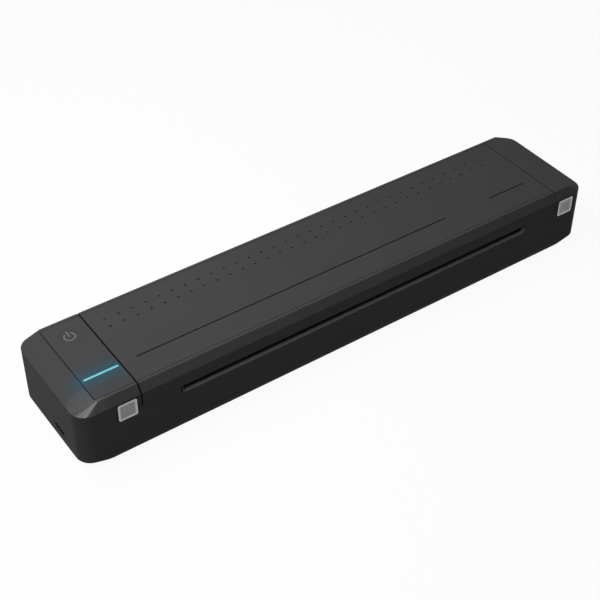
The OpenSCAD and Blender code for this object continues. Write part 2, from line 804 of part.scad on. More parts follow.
module led_light_guide() {
    web_z = panel_board_z + board_t + 0.9;
    color(light_cyan) {
        block([light_x1 - light_l, light_yc - light_w / 2, panel_low],
            [light_x1, light_yc + light_w / 2, z_top]);
        block([light_x1 - light_l + 1, light_yc - 0.5, web_z],
            [left_cap_x - bulkhead_t - 1.4, light_yc + 0.5, panel_low]);
    }
}

module panel_board() {
    color(board_green)
        difference() {
            union() {
                block([panel_x0 + 2.6, light_yc - 3, panel_board_z],
                    [left_cap_x - bulkhead_t - 0.6, key_yc + 6, panel_board_z + board_t]);
                // Light emitting diodes under the guide
                for (k = [0.2, 0.5, 0.8])
                    translate([light_x1 - light_l * k - 1.5, light_yc - 0.8, panel_board_z])
                        cube([2, 1.6, board_t + 0.7]);
            }
            for (y = [light_yc + 6, key_yc - 8])
                translate([key_xc, y, panel_board_z - cut])
                    cylinder(r = 1, h = board_t + 2 * cut);
        }
}

module power_switch() {
    base_z = panel_board_z + board_t;
    color(steel) {
        block([key_xc - 3, key_yc - 3, base_z], [key_xc + 3, key_yc + 3, base_z + 1.2]);
        translate([key_xc, key_yc, base_z])
            cylinder(r = 1.5, h = key_stem_low - key_travel - 0.05 - base_z);
    }
}

module power_key() {
    color(top_black)
        translate([key_xc, key_yc, 0]) {
            translate([0, 0, key_low])
                cylinder(r = key_d / 2, h = z_top - key_sink - key_low);
            translate([0, 0, key_low - key_flange_t])
                cylinder(r = key_d / 2 + 1, h = key_flange_t);
            translate([0, 0, key_stem_low])
                cylinder(r = 2, h = key_low - key_stem_low);
        }
}

// ---- Electronics -----------------------------------------------------------

module main_board() {
    color(board_green)
        difference() {
            block([board_x0, board_y0, main_board_top - main_board_t],
                [board_x1, board_y1, main_board_top]);
            for (y = [board_y0 + 3, board_y1 - 3])
                translate([board_x1 - 3, y, z_floor])
                    cylinder(r = 1.1, h = port_zc);
        }
}

module board_chips() {
    z = main_board_top;
    color(chip_black) {
        // Processor
        block([board_x0 + 12, board_y0 + 9, z], [board_x0 + 19, board_y0 + 16, z + 1]);
        // Charger and its coil
        block([board_x0 + 12.5, board_y0 + 2.5, z], [board_x0 + 17, board_y0 + 6.5, z + 0.9]);
        translate([board_x0 + 14, board_y0 + 20, z])
            cylinder(r = 2.4, h = 2.4);
        // Connectors towards the frame
        block([board_x1 - 6, board_y0 + 7, z], [board_x1 - 1.5, board_y0 + 12, z + 3]);
        block([board_x1 - 6, board_y0 + 13, z], [board_x1 - 1.5, board_y0 + 17, z + 3]);
    }
}

module usb_receptacle() {
    x0 = x_left + 0.9;
    color(steel) {
        difference() {
            port_form(x0, x0 + port_l, 0);
            port_form(x0 - cut, x0 + port_l - 1, -0.3);
        }
        block([x0 + 0.8, port_yc - 3.2, port_zc - 0.35],
            [x0 + port_l - 0.5, port_yc + 3.2, port_zc + 0.35]);
    }
}

module reset_switch() {
    color(chip_black) {
        block([board_x0 + 0.4, reset_yc - 0.8, main_board_top],
            [board_x0 + 4, reset_yc + 2.3, port_zc + 2]);
        rod_x(board_x0 - 0.2, board_x0 + 1, reset_yc, port_zc + 0.6, 0.8);
    }
}

module battery_pack() {
    r = 2;
    y0 = platen_yc + platen_r + cell_front_room;
    y1 = y_rear - cell_rear_room;
    half_l = cell_l / 2;
    z0 = z_floor + 0.2;
    z1 = inlet_z - inlet_h / 2 - 0.4;
    color("#2b4a86")
        for (s = [-1, 1]) {
            xc = mid_x + s * (cell_l + cell_space) / 2;
            block([xc - half_l, y0 + r, z0], [xc + half_l, y1 - r, z1]);
            block([xc - half_l, y0, z0 + r], [xc + half_l, y1, z1 - r]);
            for (y = [y0 + r, y1 - r])
                for (z = [z0 + r, z1 - r])
                    rod_x(xc - half_l, xc + half_l, y, z, r);
            // Protection circuit between the cells
            if (s > 0)
                block([mid_x - cell_space / 2 - 0.5, y0 + 4, z0],
                    [mid_x + cell_space / 2 + 0.5, y1 - 4, z0 + 3]);
        }
}

module driver_board() {
    z = z_floor + 1.4;
    color(board_green)
        difference() {
            union() {
                block([mid_x - driver_l / 2, driver_y0, z],
                    [mid_x + driver_l / 2, driver_y0 + driver_w, z + 1.6]);
                for (k = [-2:2])
                    translate([mid_x + k * driver_l / 6 - 3, driver_y0 + 4, z])
                        cube([6, 6, 2.6]);
                block([mid_x - 14, driver_y0 + 17, z], [mid_x + 14, driver_y0 + 22, z + 4]);
            }
            for (s = [-1, 1])
                translate([mid_x + s * driver_screw, platen_yc, z - cut])
                    cylinder(r = 1.1, h = 4);
        }
}

module board_screws() {
    color(steel) {
        for (y = [board_y0 + 3, board_y1 - 3])
            translate([board_x1 - 3, y, 2 * main_board_top])
                mirror([0, 0, 1])
                    screw_up(0, 0, main_board_top, 0.8, 4, 1.8, 1);
        for (s = [-1, 1])
            translate([mid_x + s * driver_screw, platen_yc, 2 * (z_floor + 3)])
                mirror([0, 0, 1])
                    screw_up(0, 0, z_floor + 3, 0.8, 4, 1.8, 1);
        for (y = [light_yc + 6, key_yc - 8])
            screw_up(key_xc, y, panel_board_z, 0.7, 4.4, 1.5, 0.8);
    }
}

// ---- Frame -----------------------------------------------------------------

// A steel side plate with a foot that points away from the paper
module side_plate(x0, foot_x0, with_axle) {
    difference() {
        union() {
            profile_x(x0, x0 + plate_t, plate_shape);
            block([foot_x0, frame_screw_y[0] - 4, z_floor],
                [foot_x0 + foot_tab, frame_screw_y[1] + 4, z_floor + 1.2]);
        }
        rod_x(x0 - cut, x0 + plate_t + cut, platen_yc, platen_z, bush_r);
        // Open slots that the spools drop into
        for (p = [[takeup_y, takeup_z], [supply_yc, supply_z]]) {
            rod_x(x0 - cut, x0 + plate_t + cut, p[0], p[1], pin_r + run_clear);
            block([x0 - cut, p[0] - pin_r - run_clear, p[1]],
                [x0 + plate_t + cut, p[0] + pin_r + run_clear, plate_top + cut]);
        }
        if (with_axle)
            rod_x(x0 - cut, x0 + plate_t + cut, idler_y, idler_z, axle_d / 2);
        for (y = frame_screw_y)
            translate([foot_x0 + foot_tab / 2, y, z_floor - cut])
                cylinder(r = 1.1, h = 4);
    }
}

module left_side_plate() {
    color(steel)
        side_plate(left_plate_x - plate_t, left_plate_x - plate_t - foot_tab, true);
}

module right_side_plate() {
    color(steel)
        side_plate(right_plate_x, right_plate_x + plate_t, false);
}

module frame_screws() {
    color(steel)
        for (x = [left_plate_x - plate_t - foot_tab / 2, right_plate_x + plate_t + foot_tab / 2])
            for (y = frame_screw_y)
                translate([x, y, 2 * (z_floor + 1.2)])
                    mirror([0, 0, 1])
                        screw_up(0, 0, z_floor + 1.2, 0.9, 2.4, 1.9, 1.2);
}

// Flanged bushes that the platen shaft turns in
module platen_bushes() {
    color(gear_white)
        for (s = [-1, 1]) {
            inner = mid_x + s * plate_in;
            x0 = s < 0 ? inner - plate_t : inner - 1;
            flange = s < 0 ? inner : inner - 1;
            difference() {
                union() {
                    rod_x(x0, x0 + plate_t + 1, platen_yc, platen_z, bush_r);
                    rod_x(flange, flange + 1, platen_yc, platen_z, bush_r + 1);
                }
                rod_x(x0 - cut, x0 + plate_t + 1 + cut, platen_yc, platen_z,
                    platen_shaft_d / 2 + run_clear);
            }
        }
}

module idler_axle() {
    color(steel) {
        rod_x(gear_b_x0 - 0.4, left_plate_x, idler_y, idler_z, axle_d / 2);
        rod_x(gear_b_x0 - 1, gear_b_x0 - 0.3, idler_y, idler_z, axle_d / 2 + 0.8);
        rod_x(gear_a_x1 + 0.3, left_plate_x - plate_t, idler_y, idler_z, axle_d / 2 + 1);
    }
}

module idler_gear() {
    color(gear_white)
        difference() {
            union() {
                gear_x(gear_a_x0, gear_a_x1, idler_y, idler_z, idler_pinion_teeth, idler_turn);
                rod_x(gear_b_x0, gear_a_x0 + 0.1, idler_y, idler_z, 2.6);
                gear_x(gear_b_x0, gear_b_x1, idler_y, idler_z, idler_teeth, idler_turn);
            }
            rod_x(gear_b_x0 - cut, gear_a_x1 + cut, idler_y, idler_z, axle_d / 2 + run_clear);
        }
}

module lower_guide() {
    top = [[guide_rear, low_in], [guide_bend, path_z(guide_bend) - half],
        [lower_tip, path_z(lower_tip) - half]];
    under = [for (i = [2:-1:0]) top[i] - [0, guide_t]];
    color(case_black)
        difference() {
            union() {
                profile_x(mid_x - guide_half, mid_x + guide_half, concat(top, under));
                for (x = [mid_x - guide_half, mid_x + guide_half - web_t])
                    profile_x(x, x + web_t, [top[0] - [0, 0.5], top[1] - [0, 0.5], top[2] - [0, 0.5],
                        [lower_tip, z_floor + 9], [platen_yc + platen_r + 5, z_floor],
                        [guide_rear - bevel_in, z_floor], [guide_rear, z_bottom + bevel_h]]);
            }
            block([mid_x + 20, sensor_y, z_floor], [mid_x + 26, sensor_y + 4, z_top]);
        }
}

module upper_guide() {
    under = [[guide_rear, high_in], [guide_bend, path_z(guide_bend) + half],
        [upper_tip, path_z(upper_tip) + half]];
    top = [for (i = [2:-1:0]) under[i] + [0, guide_t]];
    foot = [for (i = [2:-1:0]) [under[i][0], i == 0 ? low_in : path_z(under[i][0]) - half]];
    color(case_black) {
        profile_x(mid_x - guide_half, mid_x + guide_half, concat(under, top));
        for (x = [mid_x - guide_half, mid_x + guide_half - web_t])
            profile_x(x, x + web_t, concat([for (p = under) p + [0, 0.5]], foot));
    }
}

module front_guide() {
    y0 = y_front + wall + 0.2;
    y1 = platen_yc - platen_r - 1.6;
    z0 = lip_z - 0.8;
    color(case_black) {
        profile_x(mid_x - guide_half, mid_x + guide_half,
            [[y0, z0 - guide_t], [y1, z0 + 1 - guide_t], [y1, z0 + 1], [y0, z0]]);
        for (x = [mid_x - guide_half, mid_x, mid_x + guide_half - web_t])
            profile_x(x, x + web_t, [[y0, z0 - 0.5], [y0, z_floor + 6], [y1 - 4, z0 - 0.2]]);
    }
}

module paper_sensor() {
    z = path_z(sensor_y + 3.9) - half - 0.1;
    color(chip_black)
        block([mid_x + 20.1, sensor_y + 0.1, z - 3], [mid_x + 25.9, sensor_y + 3.9, z]);
}

// ---- Platen ----------------------------------------------------------------

module platen_shaft() {
    color(steel)
        rod_x(gear_a_x0 - 0.5, right_plate_x + plate_t + shaft_end,
            platen_yc, platen_z, platen_shaft_d / 2);
}

module platen_rubber() {
    color(rubber_black)
        difference() {
            rod_x(mid_x - platen_l / 2, mid_x + platen_l / 2, platen_yc, platen_z, platen_r);
            rod_x(mid_x - platen_l, mid_x + platen_l, platen_yc, platen_z, platen_shaft_d / 2);
        }
}

module platen_gear() {
    color(gear_white)
        difference() {
            union() {
                gear_x(gear_a_x0, gear_a_x1, platen_yc, platen_z, platen_teeth, platen_turn);
                rod_x(gear_a_x1 - 0.1, gear_a_x1 + 2, platen_yc, platen_z, platen_shaft_d / 2 + 1.6);
            }
            rod_x(gear_a_x0 - cut, gear_a_x1 + 2 + cut, platen_yc, platen_z, platen_shaft_d / 2);
            for (a = [0:60:300])
                rod_x(gear_a_x0 - cut, gear_a_x1 + cut,
                    platen_yc + 7.2 * cos(a), platen_z + 7.2 * sin(a), 1.6);
        }
}

// ---- Motor -----------------------------------------------------------------

module motor_body() {
    x1 = left_cap_x - bulkhead_t;
    x0 = x1 - motor_l;
    color(steel)
        difference() {
            union() {
                rod_x(x0, x1 - 1, motor_y, motor_z, motor_d / 2);
                rod_x(x1 - 1, x1, motor_y, motor_z, motor_d / 2 - 0.4);
                rod_x(x1 - 1, x1 + 1.2, motor_y, motor_z, 3);
                // Connector on the can
                block([x0 + 4, motor_y - 4, motor_z + motor_d / 2 - 2],
                    [x0 + 11, motor_y + 4, motor_z + motor_d / 2 + 2.4]);
            }
            rod_x(x1 - 6, x1 + 1.2 + cut, motor_y, motor_z, motor_shaft_d / 2 + run_clear);
            for (s = [-1, 1])
                rod_x(x1 - 3, x1 + cut, motor_y, motor_z + s * motor_screw_off, 0.8);
        }
}

module motor_screws() {
    color(steel)
        for (s = [-1, 1]) {
            z = motor_z + s * motor_screw_off;
            rod_x(left_cap_x - bulkhead_t - 2.4, left_cap_x, motor_y, z, 0.8);
            rod_x(left_cap_x, left_cap_x + 0.25, motor_y, z, 1.6);
        }
}

module motor_shaft() {
    color(steel)
        rod_x(left_cap_x - bulkhead_t - 5.8, gear_b_x1 + 0.4, motor_y, motor_z, motor_shaft_d / 2);
}

module motor_pinion() {
    color("#c9a557")
        difference() {
            gear_x(gear_b_x0, gear_b_x1, motor_y, motor_z, motor_teeth, motor_turn);
            rod_x(gear_b_x0 - cut, gear_b_x1 + cut, motor_y, motor_z, motor_shaft_d / 2);
        }
}

// ---- Ribbon spools ---------------------------------------------------------

module spool_core(y, z, x0) {
    color("#4a4a4c") {
        rod_x(mid_x - spool_l / 2, mid_x + spool_l / 2, y, z, spool_core_d / 2);
        rod_x(x0, right_plate_x + plate_t + shaft_end, y, z, pin_r);
    }
}

module ribbon_roll(y, z, d) {
    l = paper_w + 2;
    color(ribbon_black)
        difference() {
            rod_x(mid_x - l / 2, mid_x + l / 2, y, z, d / 2);
            rod_x(mid_x - l, mid_x + l, y, z, spool_core_d / 2);
        }
}

module takeup_core() {
    spool_core(takeup_y, takeup_z, gear_a_x0 - 0.5);
}

module takeup_ribbon() {
    ribbon_roll(takeup_y, takeup_z, takeup_d);
}

module takeup_gear() {
    color(gear_white)
        difference() {
            union() {
                gear_x(gear_a_x0, gear_a_x1, takeup_y, takeup_z, takeup_teeth, takeup_turn);
                rod_x(gear_a_x1 - 0.1, gear_a_x1 + 2, takeup_y, takeup_z, pin_r + 1);
            }
            rod_x(gear_a_x0 - cut, gear_a_x1 + 2 + cut, takeup_y, takeup_z, pin_r);
        }
}

module supply_core() {
    spool_core(supply_yc, supply_z, left_plate_x - plate_t - shaft_end);
}

module supply_ribbon() {
    ribbon_roll(supply_yc, supply_z, supply_d);
}

module ribbon_web() {
    line = [web_supply, web_rear, web_front, web_takeup];
    up = [for (p = line) p + [0, ribbon_t / 2]];
    low = [for (i = [3:-1:0]) line[i] - [0, ribbon_t / 2]];
    color(ribbon_black)
        profile_x(mid_x - paper_w / 2 - 1, mid_x + paper_w / 2 + 1, concat(up, low));
}

// ---- Cover -----------------------------------------------------------------

// A tab under the cover's end that the latch holds by its nose
module catch_tab(x0) {
    block([x0, catch_y - 6, catch_z], [x0 + catch_t, catch_y - 1.2, inner_top + 0.5]);
    block([x0, catch_y - 6, catch_z], [x0 + catch_t, catch_y, catch_z + 2]);
}

module cover_shell() {
    color(top_black)
        difference() {
            union() {
                difference() {
                    intersection() {
                        case_form(0, 0);
                        union() {
                            block([cover_x0, y_front, cover_low], [cover_x1, hinge_y, z_top]);
                            block([cover_x0, hinge_y - cut, hinge_zc], [cover_x1, y_rear, z_top]);
                        }
                    }
                    case_form(wall, floor_t);
                }
                // Bead along the rear edge, with the hinge in it
                rod_x(cover_x0, cover_x1, hinge_y, hinge_zc, bead_r);
                catch_tab(cover_x0 + 0.5);
                catch_tab(cover_x1 - 0.5 - catch_t);
                // Bosses for the head's bracket
                for (x = bracket_screw_x)
                    translate([x, head_y0 + head_w / 2, bracket_top])
                        cylinder(r = 3, h = inner_top - bracket_top + 0.2);
            }
            // Seat of the trim plate
            block([cover_x0 - cut, -panel_w / 2 - plate_gap, z_top - trim_t],
                [cover_x1 + cut, panel_w / 2 + plate_gap, z_top + cut]);
            // Upper edge of the front slot, its ends chamfered as the base's are
            block([mid_x - slot_l / 2, y_front - cut, cover_low - cut],
                [mid_x + slot_l / 2, y_front + wall + cut, slot_top]);
            hull() {
                block([mid_x - slot_l / 2 - slot_chamfer - cut, y_front - cut, cover_low - cut],
                    [mid_x + slot_l / 2 + slot_chamfer + cut, y_front, slot_top]);
                block([mid_x - slot_l / 2, y_front - cut, cover_low - cut],
                    [mid_x + slot_l / 2, y_front + slot_chamfer + cut, slot_top]);
            }
            // Room for the base's knuckles, and the bores of the pins
            for (x = knuckles) {
                block([x - knuckle_w / 2 - knuckle_side, hinge_y - bead_r - cut, hinge_zc - bead_r - cut],
                    [x + knuckle_w / 2 + knuckle_side, y_rear + cut, hinge_zc + bead_r + 0.4]);
                rod_x(x - pin_l / 2 - 0.3, x + pin_l / 2 + 0.3,
                    hinge_y, hinge_zc, hinge_pin_d / 2 + run_clear);
            }
            for (x = bracket_screw_x)
                translate([x, head_y0 + head_w / 2, bracket_top - cut])
                    cylinder(r = 1, h = cut + 2);
        }
}

module cover_trim_plate() {
    y_groove = y_front + groove_y;
    count = floor((cover_x1 - cover_x0 - dimple_start - groove_end) / dimple_pitch);
    x1 = cover_x1 - groove_end;
    x0 = cover_x0 + groove_end;
    blank_x1 = x1 - blank_end;
    z0 = z_top - groove_depth;
    color(top_black)
        difference() {
            block([cover_x0, -panel_w / 2, z_top - trim_t], [cover_x1, panel_w / 2, z_top]);
            block([x0, y_groove - groove_w / 2, z0],
                [blank_x1 - blank_l, y_groove + groove_w / 2, z_top + cut]);
            block([blank_x1, y_groove - groove_w / 2, z0], [x1, y_groove + groove_w / 2, z_top + cut]);
            for (k = [0:count])
                for (row = [0, 1])
                    translate([cover_x0 + dimple_start + k * dimple_pitch,
                        y_rear - dimple_rear - row * dimple_row, z0])
                        cylinder(d = dimple_d, h = groove_depth + cut, $fn = 24);
        }
}

module hinge_pins() {
    color(steel)
        for (x = knuckles)
            rod_x(x - pin_l / 2, x + pin_l / 2, hinge_y, hinge_zc, hinge_pin_d / 2);
}

// ---- Print head ------------------------------------------------------------

module head_bracket() {
    y0 = head_y0 + 0.3;
    y1 = head_y0 + head_w;
    yc = head_y0 + head_w / 2;
    slot_low = guide_pin_z - guide_pin_r - 0.1;
    slot_high = guide_pin_z + guide_pin_r + head_travel + 0.2;
    color(steel)
        difference() {
            union() {
                block([mid_x - bracket_in - bracket_t, y0, bracket_z],
                    [mid_x + bracket_in + bracket_t, y1, bracket_top]);
                for (x = [mid_x - bracket_in - bracket_t, mid_x + bracket_in])
                    block([x, y0 + 2, slot_low - 1.6], [x + bracket_t, y1 - 2, bracket_top]);
            }
            for (x = [mid_x - bracket_in - bracket_t, mid_x + bracket_in])
                block([x - cut, yc - guide_pin_r - 0.1, slot_low],
                    [x + bracket_t + cut, yc + guide_pin_r + 0.1, slot_high]);
            for (x = bracket_screw_x)
                translate([x, yc, bracket_z - cut])
                    cylinder(r = 1.1, h = bracket_t + 2 * cut);
        }
}

module bracket_screws() {
    color(steel)
        for (x = bracket_screw_x)
            screw_up(x, head_y0 + head_w / 2, bracket_z, 1, bracket_t + 1.9, 1.9, 0.9);
}

module head_springs() {
    color(steel)
        for (x = head_spring_x)
            translate([x, head_y0 + head_w / 2, bar_top])
                coil_spring(head_spring_r, 0.22, bracket_z - bar_top, 4);
}

module head_bar() {
    yc = head_y0 + head_w / 2;
    color(aluminium_grey)
        difference() {
            union() {
                block([mid_x - platen_l / 2, head_y0, bar_z],
                    [mid_x + platen_l / 2, head_y0 + head_w, bar_top]);
                rod_x(mid_x - bracket_in - bracket_t - 0.6, mid_x + bracket_in + bracket_t + 0.6,
                    yc, guide_pin_z, guide_pin_r);
            }
            // Cooling grooves beside the springs
            for (y = [1.6, head_w - 2.8])
                block([mid_x - platen_l, head_y0 + y, bar_top - 2.4],
                    [mid_x + platen_l, head_y0 + y + 1.2, bar_top + cut]);
            for (x = bracket_screw_x)
                translate([x, yc, bar_top - 2])
                    cylinder(r = 2.4, h = 2 + cut);
        }
}

module head_ceramic() {
    color("#d9d6cc")
        block([mid_x - platen_l / 2 + 0.5, head_y0 + 0.2, head_low],
            [mid_x + platen_l / 2 - 0.5, head_y0 + ceramic_w, bar_z]);
}

module head_screws() {
    color(steel)
        for (s = [-1, 1])
            for (k = [0.1, 0.3])
                translate([mid_x + s * platen_l * k, head_y0 + head_w - 1, bar_z - 0.3])
                    cylinder(r = 0.7, h = 0.3);
}

// ---- Release buttons -------------------------------------------------------

// A square button with a finger dish, flush with the front wall
module release_button(x) {
    s = button_s / 2;
    r = 0.8;
    dish_r = (pow(button_s / 2 - 0.6, 2) + pow(dish_depth, 2)) / (2 * dish_depth);
    color(metal_grey)
        difference() {
            union() {
                block([x - s + r, y_front, button_zc - s],
                    [x + s - r, y_front + button_depth, button_zc + s]);
                block([x - s, y_front, button_zc - s + r],
                    [x + s, y_front + button_depth, button_zc + s - r]);
                for (sx = [-1, 1])
                    for (sz = [-1, 1])
                        rod_y(y_front, y_front + button_depth,
                            x + sx * (s - r), button_zc + sz * (s - r), r);
            }
            translate([x, y_front + dish_depth - dish_r, button_zc])
                sphere(r = dish_r, $fn = 96);
        }
}

// The slide behind a button: a stem, an arm through the end wall and a hook
module latch(x, tip) {
    low = min(x, tip);
    high = max(x, tip);
    hook = tip > x ? tip - 2.4 : tip;
    color("#5a5a5c") {
        block([x - 3, y_front + button_depth, arm_z], [x + 3, arm_y + arm_t, arm_z + arm_h]);
        block([low, arm_y, arm_z], [high, arm_y + arm_t, arm_z + arm_h]);
        block([hook, arm_y - 0.02, arm_z - 0.2], [hook + 2.4, arm_y + arm_t, arm_z + arm_h]);
    }
}

module left_button() {
    release_button(left_button_xc);
}

module right_button() {
    release_button(right_button_xc);
}

module left_latch() {
    latch(left_button_xc, cover_x0 + 0.5 + catch_t);
}

module right_latch() {
    latch(right_button_xc, cover_x1 - 0.5 - catch_t);
}

// The spring that pushes a button out
module button_spring(x) {
    color(steel)
        translate([x, arm_y + arm_t, arm_z + arm_h / 2])
            rotate([-90, 0, 0])
                coil_spring(spring_r, 0.25, spring_l, 6);
}

module left_button_spring() {
    button_spring(left_button_xc);
}

module right_button_spring() {
    button_spring(right_button_xc);
}

// ---- Feet and screws of the case -------------------------------------------

module rubber_feet() {
    color(rubber_black)
        for (sx = [-1, 1])
            for (sy = [-1, 1])
                translate([sx * foot_x, sy * foot_y, 0])
                    cylinder(r = foot_d / 2 - 0.1, h = z_bottom + foot_set);
}

module case_screws() {
    color(steel)
        for (p = posts)
            screw_up(p[0], p[1], z_floor + case_screw_sink, case_screw_r,
                post_split + case_screw_bite - z_floor - case_screw_sink, 2.2, 1.8);
}

base_housing();
left_end_cap();
control_panel();
right_end_cap();
led_light_guide();
panel_board();
power_switch();
main_board();
board_chips();
usb_receptacle();
reset_switch();
left_side_plate();
right_side_plate();
platen_bushes();
lower_guide();
upper_guide();
front_guide();
paper_sensor();
battery_pack();
driver_board();
motor_body();
hinge_pins();
idler_axle();
rubber_feet();
case_screws();
frame_screws();
motor_screws();
board_screws();
left_button_spring();
right_button_spring();
ribbon_web();
cover_shell();
cover_trim_plate();
head_bracket();
bracket_screws();
head_springs();
head_bar();
head_ceramic();
head_screws();
platen_shaft();
platen_rubber();
platen_gear();
motor_shaft();
motor_pinion();
idler_gear();
takeup_core();
takeup_ribbon();
takeup_gear();
supply_core();
supply_ribbon();
left_button();
left_latch();
right_button();
right_latch();
power_key();
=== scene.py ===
import json
import math

import bmesh
import bpy
from mathutils import Matrix, Vector


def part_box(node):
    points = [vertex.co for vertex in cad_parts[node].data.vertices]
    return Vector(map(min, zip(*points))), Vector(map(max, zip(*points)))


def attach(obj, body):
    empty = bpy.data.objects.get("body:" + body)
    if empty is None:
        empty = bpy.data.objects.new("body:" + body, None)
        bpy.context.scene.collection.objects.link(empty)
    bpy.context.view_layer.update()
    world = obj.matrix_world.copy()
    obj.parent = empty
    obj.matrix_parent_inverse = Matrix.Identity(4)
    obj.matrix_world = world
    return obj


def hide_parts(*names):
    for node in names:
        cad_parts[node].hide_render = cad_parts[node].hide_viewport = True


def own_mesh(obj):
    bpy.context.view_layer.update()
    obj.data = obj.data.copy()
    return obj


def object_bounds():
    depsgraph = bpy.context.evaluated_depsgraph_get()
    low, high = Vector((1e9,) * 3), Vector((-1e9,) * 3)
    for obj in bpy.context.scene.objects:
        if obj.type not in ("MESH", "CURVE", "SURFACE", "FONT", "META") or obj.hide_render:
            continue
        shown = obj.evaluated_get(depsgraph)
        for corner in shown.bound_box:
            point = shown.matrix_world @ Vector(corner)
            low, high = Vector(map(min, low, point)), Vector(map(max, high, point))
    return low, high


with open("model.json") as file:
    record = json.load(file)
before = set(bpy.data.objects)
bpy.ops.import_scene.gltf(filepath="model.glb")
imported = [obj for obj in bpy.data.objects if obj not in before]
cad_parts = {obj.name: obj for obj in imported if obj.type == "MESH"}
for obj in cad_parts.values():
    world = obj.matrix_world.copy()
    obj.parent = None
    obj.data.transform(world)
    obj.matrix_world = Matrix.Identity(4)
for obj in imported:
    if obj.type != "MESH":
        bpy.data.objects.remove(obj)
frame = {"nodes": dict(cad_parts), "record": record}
cadLow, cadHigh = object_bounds()
nodes = frame["nodes"]
mm = 0.001
print("frame loaded:", len(nodes), "nodes")


def linearColour(hexText):  # sRGB hex to the linear values that a shader takes
    channels = [int(hexText[i:i + 2], 16) / 255 for i in (1, 3, 5)]
    linear = [c / 12.92 if c <= 0.04045 else ((c + 0.055) / 1.055) ** 2.4 for c in channels]
    return linear + [1.0]


def addNode(tree, kind, settings=None, values=None, links=None):
    node = tree.nodes.new("ShaderNode" + kind)
    for name, value in (settings or {}).items():
        setattr(node, name, value)
    for name, value in (values or {}).items():
        node.inputs[name].default_value = value
    for name, source in (links or {}).items():
        tree.links.new(source, node.inputs[name])
    return node


def startMaterial(name, values):
    material = bpy.data.materials.new(name)
    material.use_nodes = True
    tree = material.node_tree
    tree.nodes.clear()
    shader = addNode(tree, "BsdfPrincipled", values=values)
    addNode(tree, "OutputMaterial", links={"Surface": shader.outputs["BSDF"]})
    place = addNode(tree, "TexCoord").outputs["Object"]
    return material, tree, shader, place


# Colour drift, roughness drift and relief, all from sizes in millimetres.
# stretch draws the pattern out along an axis, as brushing or rolling does.
# Most of a noise lies between 0.3 and 0.7, which is what the roughness is mapped from.
def addFinish(tree, shader, place, look):
    stretch = look.get("stretch", (1, 1, 1))
    drawn = addNode(tree, "Mapping", values={"Scale": [1 / s for s in stretch]}, links={"Vector": place})
    grain = addNode(tree, "TexNoise",
                    values={"Scale": 1 / (look["grain"] * mm), "Detail": 3.0, "Roughness": 0.6},
                    links={"Vector": drawn.outputs["Vector"]})
    cloud = addNode(tree, "TexNoise",
                    values={"Scale": 1 / (look["cloud"] * mm), "Detail": 2.0, "Roughness": 0.5},
                    links={"Vector": place})
    blend = addNode(tree, "Math", {"operation": "MULTIPLY_ADD"}, {1: 0.5},
                    {0: grain.outputs["Fac"], 2: cloud.outputs["Fac"]})
    drift = addNode(tree, "MapRange",
                    values={"From Min": 0.5, "From Max": 1.0,
                            "To Min": 1 - look["drift"], "To Max": 1 + look["drift"]},
                    links={"Value": blend.outputs[0]})
    tint = addNode(tree, "HueSaturation", values={"Color": linearColour(look["colour"])},
                   links={"Value": drift.outputs["Result"]})
    tree.links.new(tint.outputs["Color"], shader.inputs["Base Color"])
    rough = addNode(tree, "MapRange",
                    values={"From Min": 0.3, "From Max": 0.7,
                            "To Min": look["roughness"] - look["roughDrift"],
                            "To Max": look["roughness"] + look["roughDrift"]},
                    links={"Value": grain.outputs["Fac"]})
    tree.links.new(rough.outputs["Result"], shader.inputs["Roughness"])
    bump = addNode(tree, "Bump", values={"Strength": look["relief"], "Distance": look["depth"] * mm},
                   links={"Height": grain.outputs["Fac"]})
    tree.links.new(bump.outputs["Normal"], shader.inputs["Normal"])
    return tint, bump


# Light bar: how it glows, the painted glow and tint on the plastic round it (standing in for its light
# falling there), and where the frame has it
barLow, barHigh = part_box("led_light_guide")
lightBar = {
    "colour": "#54a6ae",
    "strength": 1.0,
    "spillColour": "#00b4ff",
    "spillStrength": 0.07,
    # painted light: the tint stands in for the bar's light on the grey beside it
    "paintedGlowTint": "#004040",   # what the grey turns to beside the bar
    "paintedGlowTintShare": 0.5,
    "spillReach": 5.0,   # mm
    "spillFall": 1.5,    # how fast it fades past its reach: 1 is slow, 2 is fast
    "low": Vector((barLow.x, (barLow.y + barHigh.y) / 2, barHigh.z)),
    "high": Vector((barHigh.x, (barLow.y + barHigh.y) / 2, barHigh.z)),
}
